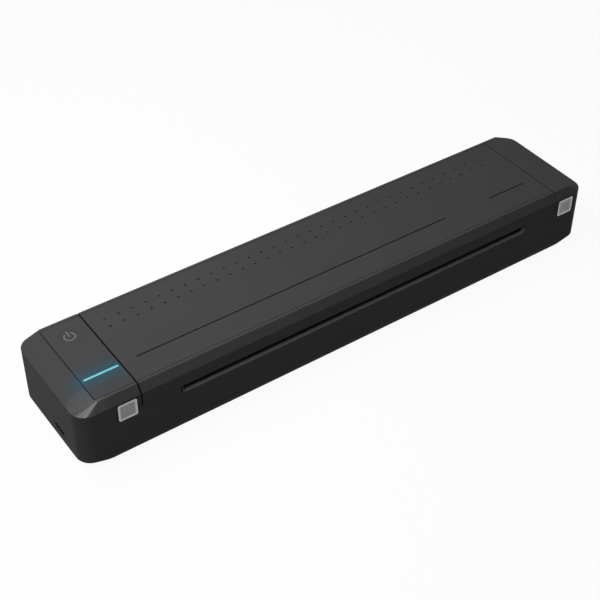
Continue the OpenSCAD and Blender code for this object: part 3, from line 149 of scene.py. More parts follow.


# Painted light: emission and a cyan tint on the plastic round the bar, fading with distance, stand in for
# the bar's light falling on it
def addPaintedBarGlow(tree, shader, place, tint):
    centre = (lightBar["low"] + lightBar["high"]) / 2
    half = (lightBar["high"].x - lightBar["low"].x) / 2
    away = addNode(tree, "VectorMath", {"operation": "SUBTRACT"}, {1: centre}, {0: place})
    spread = addNode(tree, "VectorMath", {"operation": "ABSOLUTE"}, links={0: away.outputs[0]})
    past = addNode(tree, "VectorMath", {"operation": "SUBTRACT"}, {1: (half, 0, 0)}, {0: spread.outputs[0]})
    outside = addNode(tree, "VectorMath", {"operation": "MAXIMUM"}, {1: (0, 0, 0)}, {0: past.outputs[0]})
    distance = addNode(tree, "VectorMath", {"operation": "LENGTH"}, links={0: outside.outputs[0]})
    share = addNode(tree, "Math", {"operation": "DIVIDE"}, {1: lightBar["spillReach"] * mm},
                    {0: distance.outputs["Value"]})
    curve = addNode(tree, "Math", {"operation": "POWER"}, {1: lightBar["spillFall"]}, {0: share.outputs[0]})
    power = addNode(tree, "Math", {"operation": "POWER"}, {0: 1 / math.e}, {1: curve.outputs[0]})
    strength = addNode(tree, "Math", {"operation": "MULTIPLY"}, {1: lightBar["spillStrength"]},
                       {0: power.outputs[0]})
    shader.inputs["Emission Color"].default_value = linearColour(lightBar["spillColour"])
    tree.links.new(strength.outputs[0], shader.inputs["Emission Strength"])
    paintedTintShare = addNode(tree, "Math", {"operation": "MULTIPLY"}, {1: lightBar["paintedGlowTintShare"]},
                     {0: power.outputs[0]})
    mixed = addNode(tree, "Mix", {"data_type": "RGBA"}, {7: linearColour(lightBar["paintedGlowTint"])},
                    {0: paintedTintShare.outputs[0], 6: tint.outputs["Color"]})
    tree.links.new(mixed.outputs[2], shader.inputs["Base Color"])


# Painted highlight: the front-left corner gets a stronger coat than the rest, so that the key lamp's
# reflection there is brighter
paintedCornerHighlight = {
    "centre": Vector((-149, -27, 34)) * mm,
    "shine": 0.30,
    "inner": 8,    # mm from the centre, full shine up to here
    "outer": 12,   # mm, as the rest of the case from here on
}


# Painted highlight: the coat weight rises towards the corner, so that the lamp's reflection there is
# brighter
def addPaintedCornerHighlight(tree, shader, place, look):
    away = addNode(tree, "VectorMath", {"operation": "DISTANCE"}, {1: paintedCornerHighlight["centre"]}, {0: place})
    shine = addNode(tree, "MapRange", {"interpolation_type": "SMOOTHSTEP"},
                    {"From Min": paintedCornerHighlight["inner"] * mm, "From Max": paintedCornerHighlight["outer"] * mm,
                     "To Min": paintedCornerHighlight["shine"], "To Max": look["shine"]},
                    {"Value": away.outputs["Value"]})
    tree.links.new(shine.outputs["Result"], shader.inputs["Coat Weight"])


# ABS, moulded in a spark-eroded tool: a dead even dark grey that scatters light in a fine grain.
# Only the flat tops of the grain shine, so the gloss is a thin weak coat and none lies below it.
# Real grain is about 0.1 mm, drawn at 0.35 mm so that it shows.
def mouldedAbs(name, look, withPaintedGlow=False, withCornerHighlight=False):
    material, tree, shader, place = startMaterial(
        name,
        {"Specular IOR Level": 0.0, "Coat Weight": look["shine"], "Coat Roughness": look["shineSpread"]})
    tint = addFinish(tree, shader, place, look)[0]
    if withPaintedGlow:
        addPaintedBarGlow(tree, shader, place, tint)
    if withCornerHighlight:
        addPaintedCornerHighlight(tree, shader, place, look)
    return material


# Plain black ABS inside: smoother than the case, faint flow marks along the guides
def mouldedInnerAbs(name, look):
    material, tree, shader, place = startMaterial(name, {"IOR": 1.54, "Specular IOR Level": look["gloss"]})
    addFinish(tree, shader, place, look)
    return material


# Die-cast zinc with satin nickel: bright rim, finely blasted darker middle
def satinNickel(name, look, centres, half):
    material, tree, shader, place = startMaterial(name, {"Metallic": 1.0})
    tint = addFinish(tree, shader, place, look)[0]
    split = addNode(tree, "SeparateXYZ", links={"Vector": place})
    reach = None
    for centre in centres:
        sides = []
        for axis, middle in (("X", centre.x), ("Z", centre.z)):
            away = addNode(tree, "Math", {"operation": "SUBTRACT"}, {1: middle}, {0: split.outputs[axis]})
            side = addNode(tree, "Math", {"operation": "ABSOLUTE"}, links={0: away.outputs[0]})
            sides.append(side.outputs[0])
        square = addNode(tree, "Math", {"operation": "MAXIMUM"}, links={0: sides[0], 1: sides[1]})
        if reach is None:
            reach = square.outputs[0]
        else:
            reach = addNode(tree, "Math", {"operation": "MINIMUM"},
                            links={0: reach, 1: square.outputs[0]}).outputs[0]
    rimInner, rimOuter = look["rim"]
    rim = addNode(tree, "MapRange", {"interpolation_type": "SMOOTHSTEP"},
                  {"From Min": half - rimInner * mm, "From Max": half - rimOuter * mm,
                   "To Min": look["middle"], "To Max": 1.0}, {"Value": reach})
    shade = addNode(tree, "HueSaturation",
                    links={"Color": tint.outputs["Color"], "Value": rim.outputs["Result"]})
    tree.links.new(shade.outputs["Color"], shader.inputs["Base Color"])
    return material


# Acetal: waxy, slightly translucent, faintly mottled; used for gears, bushes, latches and spools
def mouldedAcetal(name, look):
    material, tree, shader, place = startMaterial(
        name, {"IOR": 1.48, "Specular IOR Level": look["gloss"], "Subsurface Weight": look["glow"],
               "Subsurface Radius": (1.0, 0.9, 0.7), "Subsurface Scale": 0.8 * mm})
    addFinish(tree, shader, place, look)
    return material


# Frosted polycarbonate light guide, lit from below: brightest over its three diodes
def frostedGuide(name, look):
    material, tree, shader, place = startMaterial(
        name, {"IOR": 1.58, "Emission Color": linearColour(lightBar["colour"])})
    addFinish(tree, shader, place, look)
    length = lightBar["high"].x - lightBar["low"].x
    split = addNode(tree, "SeparateXYZ", links={"Vector": place})
    along = addNode(tree, "MapRange",
                    values={"From Min": lightBar["low"].x, "From Max": lightBar["high"].x,
                            "To Min": 0.0, "To Max": look["diodes"] * math.pi * 2},
                    links={"Value": split.outputs["X"]})
    wave = addNode(tree, "Math", {"operation": "COSINE"}, links={0: along.outputs["Result"]})
    strength = addNode(tree, "Math", {"operation": "MULTIPLY_ADD"},
                       {1: -look["ripple"], 2: lightBar["strength"]}, {0: wave.outputs[0]})
    tree.links.new(strength.outputs[0], shader.inputs["Emission Strength"])
    print("light bar", round(length / mm, 1), "mm long")
    return material


# Glass-fibre board under green solder mask: copper tracks show as slightly raised lighter lines
def solderMask(name, look):
    material, tree, shader, place = startMaterial(
        name, {"IOR": 1.5, "Coat Weight": 0.4, "Coat Roughness": 0.15})
    tint, bump = addFinish(tree, shader, place, look)
    rowHeight = 0.25   # of the brick texture, in its own units
    tracks = addNode(tree, "TexBrick",
                     values={"Scale": rowHeight / (look["trackPitch"] * mm),
                             "Mortar Size": look["trackShare"], "Mortar Smooth": 0.2,
                             "Color1": (0, 0, 0, 1), "Color2": (0, 0, 0, 1), "Mortar": (1, 1, 1, 1)},
                     links={"Vector": place})
    copper = addNode(tree, "Mix", {"data_type": "RGBA"}, {7: linearColour(look["trackColour"])},
                     {0: tracks.outputs["Color"], 6: tint.outputs["Color"]})
    tree.links.new(copper.outputs[2], shader.inputs["Base Color"])
    tree.links.new(tracks.outputs["Color"], bump.inputs["Height"])
    return material


# Epoxy of chips and switch housings: dull, slightly gritty black
def mouldedEpoxy(name, look):
    material, tree, shader, place = startMaterial(name, {"IOR": 1.55})
    addFinish(tree, shader, place, look)
    return material


# Cold rolled steel, bright zinc plated: cool grey with faint rolling lines and cloudy passivation
def zincPlatedSteel(name, look):
    material, tree, shader, place = startMaterial(name, {"Metallic": 1.0})
    addFinish(tree, shader, place, look)
    return material


# Extruded aluminium bar: die lines run along it
def extrudedAluminium(name, look):
    material, tree, shader, place = startMaterial(name, {"Metallic": 1.0})
    addFinish(tree, shader, place, look)
    return material


# Glazed alumina strip of the print head: off-white with a glassy coat
def glazedCeramic(name, look):
    material, tree, shader, place = startMaterial(
        name, {"IOR": 1.6, "Coat Weight": 1.0, "Coat Roughness": 0.05})
    addFinish(tree, shader, place, look)
    return material


# Silicone rubber, ground round: matt, with fine grinding rings across the axis
def groundRubber(name, look):
    material, tree, shader, place = startMaterial(name, {"IOR": 1.41, "Specular IOR Level": 0.3})
    addFinish(tree, shader, place, look)
    return material


# Turned brass: warm, with fine turning rings
def turnedBrass(name, look):
    material, tree, shader, place = startMaterial(name, {"Metallic": 1.0})
    addFinish(tree, shader, place, look)
    return material


# Inked polyester film: black, shiny, with soft winding ridges along the roll
def inkedFilm(name, look):
    material, tree, shader, place = startMaterial(
        name, {"IOR": 1.6, "Coat Weight": 0.3, "Coat Roughness": 0.2})
    addFinish(tree, shader, place, look)
    return material


# PVC shrink wrap on the cells: smooth blue with shallow wrinkles
def shrinkWrap(name, look):
    material, tree, shader, place = startMaterial(name, {"IOR": 1.53})
    addFinish(tree, shader, place, look)
    return material


# What a user would change of each finish: sizes in millimetres, colours as sRGB hex
caseLook = {"colour": "#404040", "shine": 0.10, "shineSpread": 0.2, "roughness": 0.6, "roughDrift": 0.05,
            "drift": 0.03, "grain": 0.35, "cloud": 30, "relief": 0.25, "depth": 0.02}
innerLook = dict(caseLook, colour="#232323", gloss=0.3, roughness=0.5, grain=0.6, cloud=12,
                 stretch=(8, 1, 1))
buttonLook = {"colour": "#9c9c9e", "roughness": 0.38, "roughDrift": 0.05, "drift": 0.10, "grain": 0.5,
              "cloud": 3, "relief": 0.35, "depth": 0.02, "middle": 0.46,
              "rim": (1.6, 0.6)}   # from here to there, in from the edge, the middle turns into the rim
latchLook = {"colour": "#5a5a5c", "gloss": 0.4, "glow": 0.05, "roughness": 0.4, "roughDrift": 0.05,
             "drift": 0.04, "grain": 0.8, "cloud": 6, "relief": 0.15, "depth": 0.02}
gearLook = dict(latchLook, colour="#e4dfcf", glow=0.25, roughness=0.38)
guideLook = {"colour": "#2a5c60", "roughness": 0.55, "roughDrift": 0.05, "drift": 0.02, "grain": 0.3,
             "cloud": 5, "relief": 0.1, "depth": 0.01, "diodes": 3, "ripple": 0.06}
boardLook = {"colour": "#1f5c3a", "roughness": 0.35, "roughDrift": 0.05, "drift": 0.08, "grain": 0.5,
             "cloud": 8, "relief": 0.5, "depth": 0.03, "trackPitch": 1.2, "trackShare": 0.035,
             "trackColour": "#3c8a58"}
chipLook = {"colour": "#1b1b1c", "roughness": 0.6, "roughDrift": 0.08, "drift": 0.08, "grain": 0.2,
            "cloud": 3, "relief": 0.3, "depth": 0.02}
steelLook = {"colour": "#bcc0c3", "roughness": 0.32, "roughDrift": 0.08, "drift": 0.05, "grain": 0.3,
             "cloud": 10, "relief": 0.15, "depth": 0.01, "stretch": (20, 1, 1)}
aluminiumLook = dict(steelLook, colour="#cfd1d4", roughness=0.4, grain=0.4, stretch=(60, 1, 1))
ceramicLook = {"colour": "#dcd8cc", "roughness": 0.3, "roughDrift": 0.04, "drift": 0.02, "grain": 0.4,
               "cloud": 6, "relief": 0.05, "depth": 0.01}
rubberLook = {"colour": "#1a1a1b", "roughness": 0.75, "roughDrift": 0.08, "drift": 0.08, "grain": 0.35,
              "cloud": 8, "relief": 0.5, "depth": 0.03, "stretch": (1, 12, 12)}
brassLook = dict(steelLook, colour="#c9a557", roughness=0.3, stretch=(1, 10, 10))
filmLook = {"colour": "#121214", "roughness": 0.25, "roughDrift": 0.08, "drift": 0.1, "grain": 1.2,
            "cloud": 10, "relief": 0.4, "depth": 0.05, "stretch": (40, 1, 1)}
wrapLook = {"colour": "#2b4a86", "roughness": 0.28, "roughDrift": 0.06, "drift": 0.05, "grain": 2.5,
            "cloud": 15, "relief": 0.4, "depth": 0.08, "stretch": (4, 1, 1)}

buttonBoxes = [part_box(name) for name in ("left_button", "right_button")]
buttonCentres = [(low + high) / 2 for low, high in buttonBoxes]
buttonHalf = (buttonBoxes[0][1].x - buttonBoxes[0][0].x) / 2

caseAbs = mouldedAbs("ABS moulded", caseLook)
materials = {
    "case_black": caseAbs,
    "top_black": caseAbs,
    "inner_black": mouldedInnerAbs("ABS moulded inside", innerLook),
    "button_metal": satinNickel("zinc satin nickel", buttonLook, buttonCentres, buttonHalf),
    "latch_grey": mouldedAcetal("acetal grey", latchLook),
    "light_guide": frostedGuide("polycarbonate frosted", guideLook),
    "circuit_board": solderMask("solder mask green", boardLook),
    "chip_black": mouldedEpoxy("epoxy moulded", chipLook),
    "steel": zincPlatedSteel("steel zinc plated", steelLook),
    "aluminium": extrudedAluminium("aluminium extruded", aluminiumLook),
    "ceramic": glazedCeramic("alumina glazed", ceramicLook),
    "rubber": groundRubber("silicone rubber ground", rubberLook),
    "gear_white": mouldedAcetal("acetal natural", gearLook),
    "brass": turnedBrass("brass turned", brassLook),
    "ribbon": inkedFilm("polyester film inked", filmLook),
    "battery_wrap": shrinkWrap("PVC shrink wrap", wrapLook),
}
panelAbs = mouldedAbs("ABS moulded with painted glow of the light bar", caseLook, withPaintedGlow=True)
leftCapAbs = mouldedAbs("ABS moulded painted corner highlight", caseLook, withPaintedGlow=True, withCornerHighlight=True)
slots = {part["node"]: part["material_slot"] for part in frame["record"]["subparts"]}
for name, node in nodes.items():
    node.data.materials.clear()
    node.data.materials.append(materials[slots[name]])
# The panel and the left end cap carry the painted glow of the light bar; the left end cap also carries the
# painted corner highlight
nodes["control_panel"].data.materials[0] = panelAbs
nodes["left_end_cap"].data.materials[0] = leftCapAbs
print("materials on all nodes")


# Edge radii in millimetres: moulded edges are never sharp, and catch a thin line of light
edges = {
    "base_housing": 0.3, "left_end_cap": 0.3, "right_end_cap": 0.3, "cover_shell": 0.3,
    "control_panel": 0.12, "cover_trim_plate": 0.1, "left_button": 0.35, "right_button": 0.35,
    "left_latch": 0.2, "right_latch": 0.2, "power_key": 0.08, "led_light_guide": 0.1,
    "head_bar": 0.15, "head_bracket": 0.15, "left_side_plate": 0.2, "right_side_plate": 0.2,
    "lower_guide": 0.2, "upper_guide": 0.2, "front_guide": 0.2, "board_chips": 0.1, "rubber_feet": 0.5,
    "motor_body": 0.3, "platen_rubber": 0.3, "case_screws": 0.08,
}
hardFlats = {"cover_trim_plate"}   # a large flat plate with small holes, kept flat between them
edgeMaking = {
    "weld": 0.0005,    # mm, joins the points that the CAD's faces have in common
    "segments": 3,
    "angle": 25,       # degrees, an edge turned by less stays as it is
    "faceWeight": 80,  # how strongly the large faces keep their shading flat
}


def roundEdges(node, radius):
    weld = node.modifiers.new("weld", "WELD")
    weld.merge_threshold = edgeMaking["weld"] * mm
    bevel = node.modifiers.new("bevel", "BEVEL")
    bevel.width = radius * mm
    bevel.segments = edgeMaking["segments"]
    bevel.limit_method = "ANGLE"
    bevel.angle_limit = math.radians(edgeMaking["angle"])
    bevel.use_clamp_overlap = True
    bevel.miter_outer = "MITER_ARC"
    if node.name in hardFlats:
        bevel.harden_normals = True
        return
    normals = node.modifiers.new("normals", "WEIGHTED_NORMAL")
    normals.keep_sharp = False
    normals.weight = edgeMaking["faceWeight"]


for name, radius in edges.items():
    roundEdges(nodes[name], radius)
print("edges rounded on", len(edges), "nodes")


def placeMesh(name, mesh):   # turns what was built into an object of the scene
    data = bpy.data.meshes.new(name)
    mesh.to_mesh(data)
    mesh.free()
    piece = bpy.data.objects.new(name, data)
    bpy.context.scene.collection.objects.link(piece)
    return piece


# Power symbol, printed on the key: an open ring and a stroke
keyLow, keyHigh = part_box("power_key")
powerSymbol = {
    "colour": "#707070",
    "centre": Vector(((keyLow.x + keyHigh.x) / 2, (keyLow.y + keyHigh.y) / 2)),
    "radius": 2.7,      # to the middle of the line
    "line": 0.5,
    "opening": 32,      # degrees to each side of the stroke
    "stroke": (0.4, 4.2),   # its start and end, from the centre
    "thickness": 0.012,
    "steps": 40,
    "endSteps": 8,      # of each round end of the stroke
}


def makePowerSymbol():
    spec = powerSymbol
    top = keyHigh.z
    mesh = bmesh.new()
    half = spec["line"] / 2
    start = math.radians(90 + spec["opening"])
    sweep = math.radians(360 - 2 * spec["opening"])
    arc = []
    for i in range(spec["steps"] + 1):
        angle = start + sweep * i / spec["steps"]
        arc.append([(r * math.cos(angle), r * math.sin(angle))
                    for r in (spec["radius"] - half, spec["radius"] + half)])
    outline = [inner for inner, outer in arc] + [outer for inner, outer in reversed(arc)]
    low, high = spec["stroke"]
    stroke = []
    for middle, turn in ((high, 0), (low, 180)):   # round ends
        for i in range(spec["endSteps"] + 1):
            angle = math.radians(turn + 180 * i / spec["endSteps"])
            stroke.append((half * math.cos(angle), middle + half * math.sin(angle)))
    for points in (outline, stroke):
        floor = [mesh.verts.new((spec["centre"].x + x * mm, spec["centre"].y + y * mm, top))
                 for x, y in points]
        face = mesh.faces.new(floor)
        raised = bmesh.ops.extrude_face_region(mesh, geom=[face])["geom"]
        bmesh.ops.translate(mesh, vec=(0, 0, spec["thickness"] * mm),
                            verts=[v for v in raised if isinstance(v, bmesh.types.BMVert)])
    bmesh.ops.recalc_face_normals(mesh, faces=mesh.faces)
    return placeMesh("power_symbol", mesh)


# Pad print: matt grey ink, a little uneven
def padPrint(name, look):
    material, tree, shader, place = startMaterial(name, {"IOR": 1.5, "Specular IOR Level": 0.2})
    addFinish(tree, shader, place, look)
    return material


printLook = {"colour": powerSymbol["colour"], "roughness": 0.6, "roughDrift": 0.05, "drift": 0.05,
             "grain": 0.2, "cloud": 2, "relief": 0.2, "depth": 0.005}
symbol = makePowerSymbol()
symbol.data.materials.append(padPrint("pad print grey", printLook))
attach(symbol, "power_key")
print("power symbol made")


# Carries a section along a path on an upright face. Each path point is (along, z, outward along,
# outward z), each section point is (outwards, depth), all in millimetres. The front face runs along X
# and its depth is Y; the end faces run along Y and their depth is X.
def sweepSection(name, path, section, closed, onEnd=False):
    mesh = bmesh.new()
    rings = []
    for along, z, nx, nz in path:
        ring = []
        for out, depth in section:
            point = Vector((along + out * nx, depth, z + out * nz)) * mm
            ring.append(mesh.verts.new(point.yxz if onEnd else point))
        rings.append(ring)
    count = len(section)
    pairs = list(zip(rings, rings[1:])) + ([(rings[-1], rings[0])] if closed else [])
    for first, second in pairs:
        for i in range(count):
            j = (i + 1) % count
            mesh.faces.new((first[i], first[j], second[j], second[i]))
    if not closed:
        mesh.faces.new(rings[0])
        mesh.faces.new(list(reversed(rings[-1])))
    bmesh.ops.recalc_face_normals(mesh, faces=mesh.faces)
    return placeMesh(name, mesh)


def cornerPath(cx, cz, radius, start, steps):   # a quarter turn, from start degrees on
    turns = [math.radians(start + 90 * i / steps) for i in range(steps + 1)]
    return [(cx + radius * math.cos(a), cz + radius * math.sin(a), math.cos(a), math.sin(a)) for a in turns]


# Painted light in the front slot: a thin paler strip on its ledge and chamfer, which stands in for the
# light that falls on the ledge
slotPaintedLight = {
    # painted light: a paler grey than the case, for the lit ledge
    "colour": "#6a6a6a",
    "left": -101.6, "right": 112.4, "bottom": 22.6, "top": 25.9, "radius": 1.5, "steps": 8,
    # section: outwards from the slot's edge, and in from the front face
    "section": [(0.36, 0.03), (0.1, 0.6), (0.1, 1.9), (-0.05, 1.9), (-0.05, 0.3), (0.22, 0.03)],
}


def makeSlotPaintedLight(front):
    spec = slotPaintedLight
    x0, x1, z0, r = spec["left"], spec["right"], spec["bottom"], spec["radius"]
    path = [(x0, spec["top"], -1, 0)]
    path += cornerPath(x0 + r, z0 + r, r, 180, spec["steps"])
    path += cornerPath(x1 - r, z0 + r, r, 270, spec["steps"])
    path += [(x1, spec["top"], 1, 0)]
    section = [(out, front + depth) for out, depth in spec["section"]]
    return sweepSection("slot_painted_light", path, section, False)


# Painted shade: black foam, open celled, without any gloss, put into gaps so that they look deep and dark
def paintedShadeBlack(name, look):
    material, tree, shader, place = startMaterial(name, {"Specular IOR Level": 0.05})
    addFinish(tree, shader, place, look)
    return material


paintedShadeLook = {"colour": "#08080a", "roughness": 0.9, "roughDrift": 0.05, "drift": 0.1, "grain": 0.25,
            "cloud": 2, "relief": 0.5, "depth": 0.03}

# Painted shade: a dark foam ring in the gap round each release button, so that the gap looks deep
buttonGapShade = {
    "reach": 5.58,      # from the button's middle to the seal's outer edge
    "width": 0.5,
    "depth": (0.6, 1.2),   # behind the front face
    "radius": 0.4,
    "steps": 4,
}


def makeButtonGapShade(name, centre, front):
    spec = buttonGapShade
    cx, cz = centre.x / mm, centre.z / mm
    half = spec["reach"] - spec["radius"]
    path = []
    for sx, sz, start in ((1, 1, 0), (-1, 1, 90), (-1, -1, 180), (1, -1, 270)):
        path += cornerPath(cx + sx * half, cz + sz * half, spec["radius"], start, spec["steps"])
    near, far = spec["depth"]
    section = [(0, front + near), (0, front + far), (-spec["width"], front + far),
               (-spec["width"], front + near)]
    return sweepSection(name, path, section, True)


# Painted shade: dark foam strips on the end caps, in their joints with the cover, so that the joints look
# dark.
# Each follows the case's profile, over the top alone or over its slopes and down its front too.
jointGapShades = {
    "left_joint_gap_shade": {"below": (0.3, 2.4), "over": "all"},
    "right_joint_gap_shade": {"below": (0.1, 1.0), "over": "top"},
}
jointClear = 0.04   # from the cover
jointDrop = 7       # down the front from the slope's lower edge
slopeRun = 2.7      # of the case's front and rear slopes


def makeJointGapShade(name, spec):
    y1, z1 = cadLow.y / mm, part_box("base_housing")[1].z / mm
    y2, z2 = y1 + slopeRun, cadHigh.z / mm
    tilt = math.atan2(z2 - z1, y2 - y1)
    top, side = math.tan(tilt / 2), math.tan((math.pi / 2 - tilt) / 2)   # mitres
    path = [(y2, z2, -top, 1), (-y2, z2, top, 1)]
    if spec["over"] == "all":
        path = [(y1, z1 - jointDrop, -1, 0), (y1, z1, -1, side)] + path + [(-y1, z1, 1, side)]
    low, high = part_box("cover_shell")
    if name.startswith("left"):
        x0, x1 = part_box("left_end_cap")[1].x / mm, low.x / mm - jointClear
    else:
        x0, x1 = high.x / mm + jointClear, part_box("right_end_cap")[0].x / mm
    near, deep = spec["below"]
    section = [(-near, x0), (-near, x1), (-deep, x1), (-deep, x0)]
    return sweepSection(name, path, section, False, onEnd=True)


# Steel shell of the charging port, in millimetres: the radius of its round ends, and their place
portShell = {"radius": 1.6, "wall": 0.36}
portLow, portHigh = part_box("usb_receptacle")
portMiddle = ((portLow.y + portHigh.y) / 2 / mm, portHigh.z / mm - portShell["radius"])
portHalf = (portHigh.y - portLow.y) / 2 / mm - portShell["radius"]   # from the middle to a round end's

# Painted shade: a dark foam ring between the wall and the port's shell, so that the gap round the port
# looks dark
portGapShade = {
    "outer": 1.84, "inner": 1.3,   # radii of its round ends
    "depth": (0.3, 0.88),          # behind the left end face
    "steps": 6,
}


def makePortGapShade():
    spec = portGapShade
    cy, cz = portMiddle
    path = []
    for side, start in ((1, 0), (-1, 90), (-1, 180), (1, 270)):
        path += cornerPath(cy + side * portHalf, cz, spec["outer"], start, spec["steps"])
    near, far = [cadLow.x / mm + depth for depth in spec["depth"]]
    thick = spec["outer"] - spec["inner"]
    section = [(0, near), (0, far), (-thick, far), (-thick, near)]
    return sweepSection("port_gap_shade", path, section, True, onEnd=True)


# Black insulator inside the charging port: a back wall and a sleeve on the tongue
portInsulator = {
    "colour": "#0a0a0b",
    "depth": (1.4, 2.2),         # of the back wall, behind the mouth
    "tongue": (6.5, 0.8, 0.7),   # its width, its height and how far behind the mouth it starts
    "steps": 12,
}


def makePortInsulator():
    spec = portInsulator
    cy, cz = portMiddle
    inner = portShell["radius"] - portShell["wall"]
    wide, tall, start = spec["tongue"]
    mouth = portLow.x / mm
    mesh = bmesh.new()

    def solid(outline, nearX, farX):
        rings = [[mesh.verts.new((x * mm, y * mm, z * mm)) for y, z in outline] for x in (nearX, farX)]
        count = len(outline)
        mesh.faces.new(rings[0])
        mesh.faces.new(list(reversed(rings[1])))
        for i in range(count):
            j = (i + 1) % count
            mesh.faces.new((rings[0][i], rings[1][i], rings[1][j], rings[0][j]))

    plug = []
    for side in (1, -1):
        for i in range(spec["steps"] + 1):
            angle = math.radians(-90 + 180 * i / spec["steps"])
            across, up = portHalf + inner * math.cos(angle), inner * math.sin(angle)
            plug.append((cy + side * across, cz + side * up))
    solid(plug, mouth + spec["depth"][0], mouth + spec["depth"][1])
    tongue = [(cy + sy * wide / 2, cz + sz * tall / 2) for sy, sz in ((-1, -1), (1, -1), (1, 1), (-1, 1))]
    solid(tongue, mouth + start, mouth + spec["depth"][0])
    bmesh.ops.recalc_face_normals(mesh, faces=mesh.faces)
    return placeMesh("port_insulator", mesh)


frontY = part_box("base_housing")[0].y / mm
# The strip's pale grey is painted light on the ledge
slotLightStrip = makeSlotPaintedLight(frontY)
slotLightStrip.data.materials.append(mouldedAbs("ABS pale, painted light on the slot ledge", dict(caseLook, colour=slotPaintedLight["colour"])))
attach(slotLightStrip, "base")
# Painted shade: black fill for the gaps round the buttons, in the joints and round the port
paintedShadeMaterial = paintedShadeBlack("painted shade black", paintedShadeLook)
gapShades = [makeButtonGapShade(name, centre, frontY)
         for name, centre in zip(("left_button_gap_shade", "right_button_gap_shade"), buttonCentres)]
gapShades += [makeJointGapShade(name, spec) for name, spec in jointGapShades.items()]
for gapShade in gapShades + [makePortGapShade()]:
    gapShade.data.materials.append(paintedShadeMaterial)
    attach(gapShade, "base")
insulator = makePortInsulator()
insulatorLook = dict(chipLook, colour=portInsulator["colour"])
insulator.data.materials.append(mouldedEpoxy("port plastic", insulatorLook))
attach(insulator, "base")
print("slot strip of painted light, painted shade in the gaps and port insulator made")


# Coil springs, finer than the CAD's. Sizes in millimetres;
# keep is the share of the length that is left when the joint is at its limit.
springs = {
    "head_coils": {"node": "head_springs", "body": "cover", "joint": "head_float", "axis": "Z",
                   "count": 5, "wire": 0.22, "turns": 4, "keep": 0.72},
    "left_button_coil": {"node": "left_button_spring", "body": "base", "joint": "left_release_slide",
                         "axis": "Y", "count": 1, "wire": 0.25, "turns": 6, "keep": 0.705},
    "right_button_coil": {"node": "right_button_spring", "body": "base", "joint": "right_release_slide",
                          "axis": "Y", "count": 1, "wire": 0.25, "turns": 6, "keep": 0.705},
}
springSteps, springSides = 32, 10   # round each turn and round the wire


def makeSprings(name, spec):
    low, high = [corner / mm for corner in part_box(spec["node"])]
    upright = spec["axis"] == "Z"
    wire = spec["wire"]
    if upright:
        radius, start, end = (high.y - low.y) / 2, low.z + wire, high.z - wire
        side = (low.y + high.y) / 2
    else:
        radius, start, end = (high.x - low.x) / 2, low.y + wire, high.y - wire
        side = (low.z + high.z) / 2
    mesh = bmesh.new()
    for k in range(spec["count"]):
        share = k / (spec["count"] - 1) if spec["count"] > 1 else 0
        x = low.x + radius + (high.x - low.x - 2 * radius) * share
        rings = []
        for i in range(spec["turns"] * springSteps + 1):
            turn = 2 * math.pi * i / springSteps
            along = start + (end - start) * i / (spec["turns"] * springSteps)
            ring = []
            for j in range(springSides):
                around = 2 * math.pi * j / springSides
                reach = radius - wire + wire * math.cos(around)
                across, out = reach * math.cos(turn), reach * math.sin(turn)
                far = along + wire * math.sin(around)
                point = (x + across, side + out, far) if upright else (x + across, far, side + out)
                ring.append(mesh.verts.new(Vector(point) * mm))
            rings.append(ring)
        for first, second in zip(rings, rings[1:]):
            for j in range(springSides):
                n = (j + 1) % springSides
                mesh.faces.new((first[j], first[n], second[n], second[j])).smooth = True
        mesh.faces.new(rings[0])
        mesh.faces.new(list(reversed(rings[-1])))
    bmesh.ops.recalc_face_normals(mesh, faces=mesh.faces)
    piece = placeMesh(name, mesh)
    axis, anchor = ((0, 0, 1), (0, 0, high.z * mm)) if upright else ((0, 1, 0), (0, high.y * mm, 0))
    return piece, axis, anchor


springSteel = zincPlatedSteel("spring steel bright", dict(steelLook, stretch=(1, 1, 1), roughness=0.25))
for name, spec in springs.items():
    piece, axis, anchor = makeSprings(name, spec)
    piece.data.materials.append(springSteel)
    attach(piece, spec["body"])
    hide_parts(spec["node"])
    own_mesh(piece)
print("springs made")


# Camera: the photograph's viewing angle
camera = {
    "place": (-307.81, -418.65, 457.68),   # mm
    "azimuth": -35.188,
    "elevation": 40.959,
    "roll": 0.342,
    "lens": 78.416,
    "sensor": 36,
}


def makeCamera():
    azimuth, elevation, roll = [math.radians(camera[k]) for k in ("azimuth", "elevation", "roll")]
    back = Vector((math.sin(azimuth) * math.cos(elevation), -math.cos(azimuth) * math.cos(elevation),
                   math.sin(elevation)))
    right = Vector((math.cos(azimuth), math.sin(azimuth), 0))
    up = back.cross(right)
    tiltedRight = right * math.cos(roll) + up * math.sin(roll)
    tiltedUp = up * math.cos(roll) - right * math.sin(roll)
    data = bpy.data.cameras.new("camera")
    data.lens = camera["lens"]
    data.sensor_width = camera["sensor"]
    data.clip_start, data.clip_end = 0.01, 20
    eye = bpy.data.objects.new("camera", data)
    bpy.context.scene.collection.objects.link(eye)
    turn = Matrix((tiltedRight, tiltedUp, back)).transposed().to_4x4()
    eye.matrix_world = Matrix.Translation(Vector(camera["place"]) * mm) @ turn
    bpy.context.scene.camera = eye


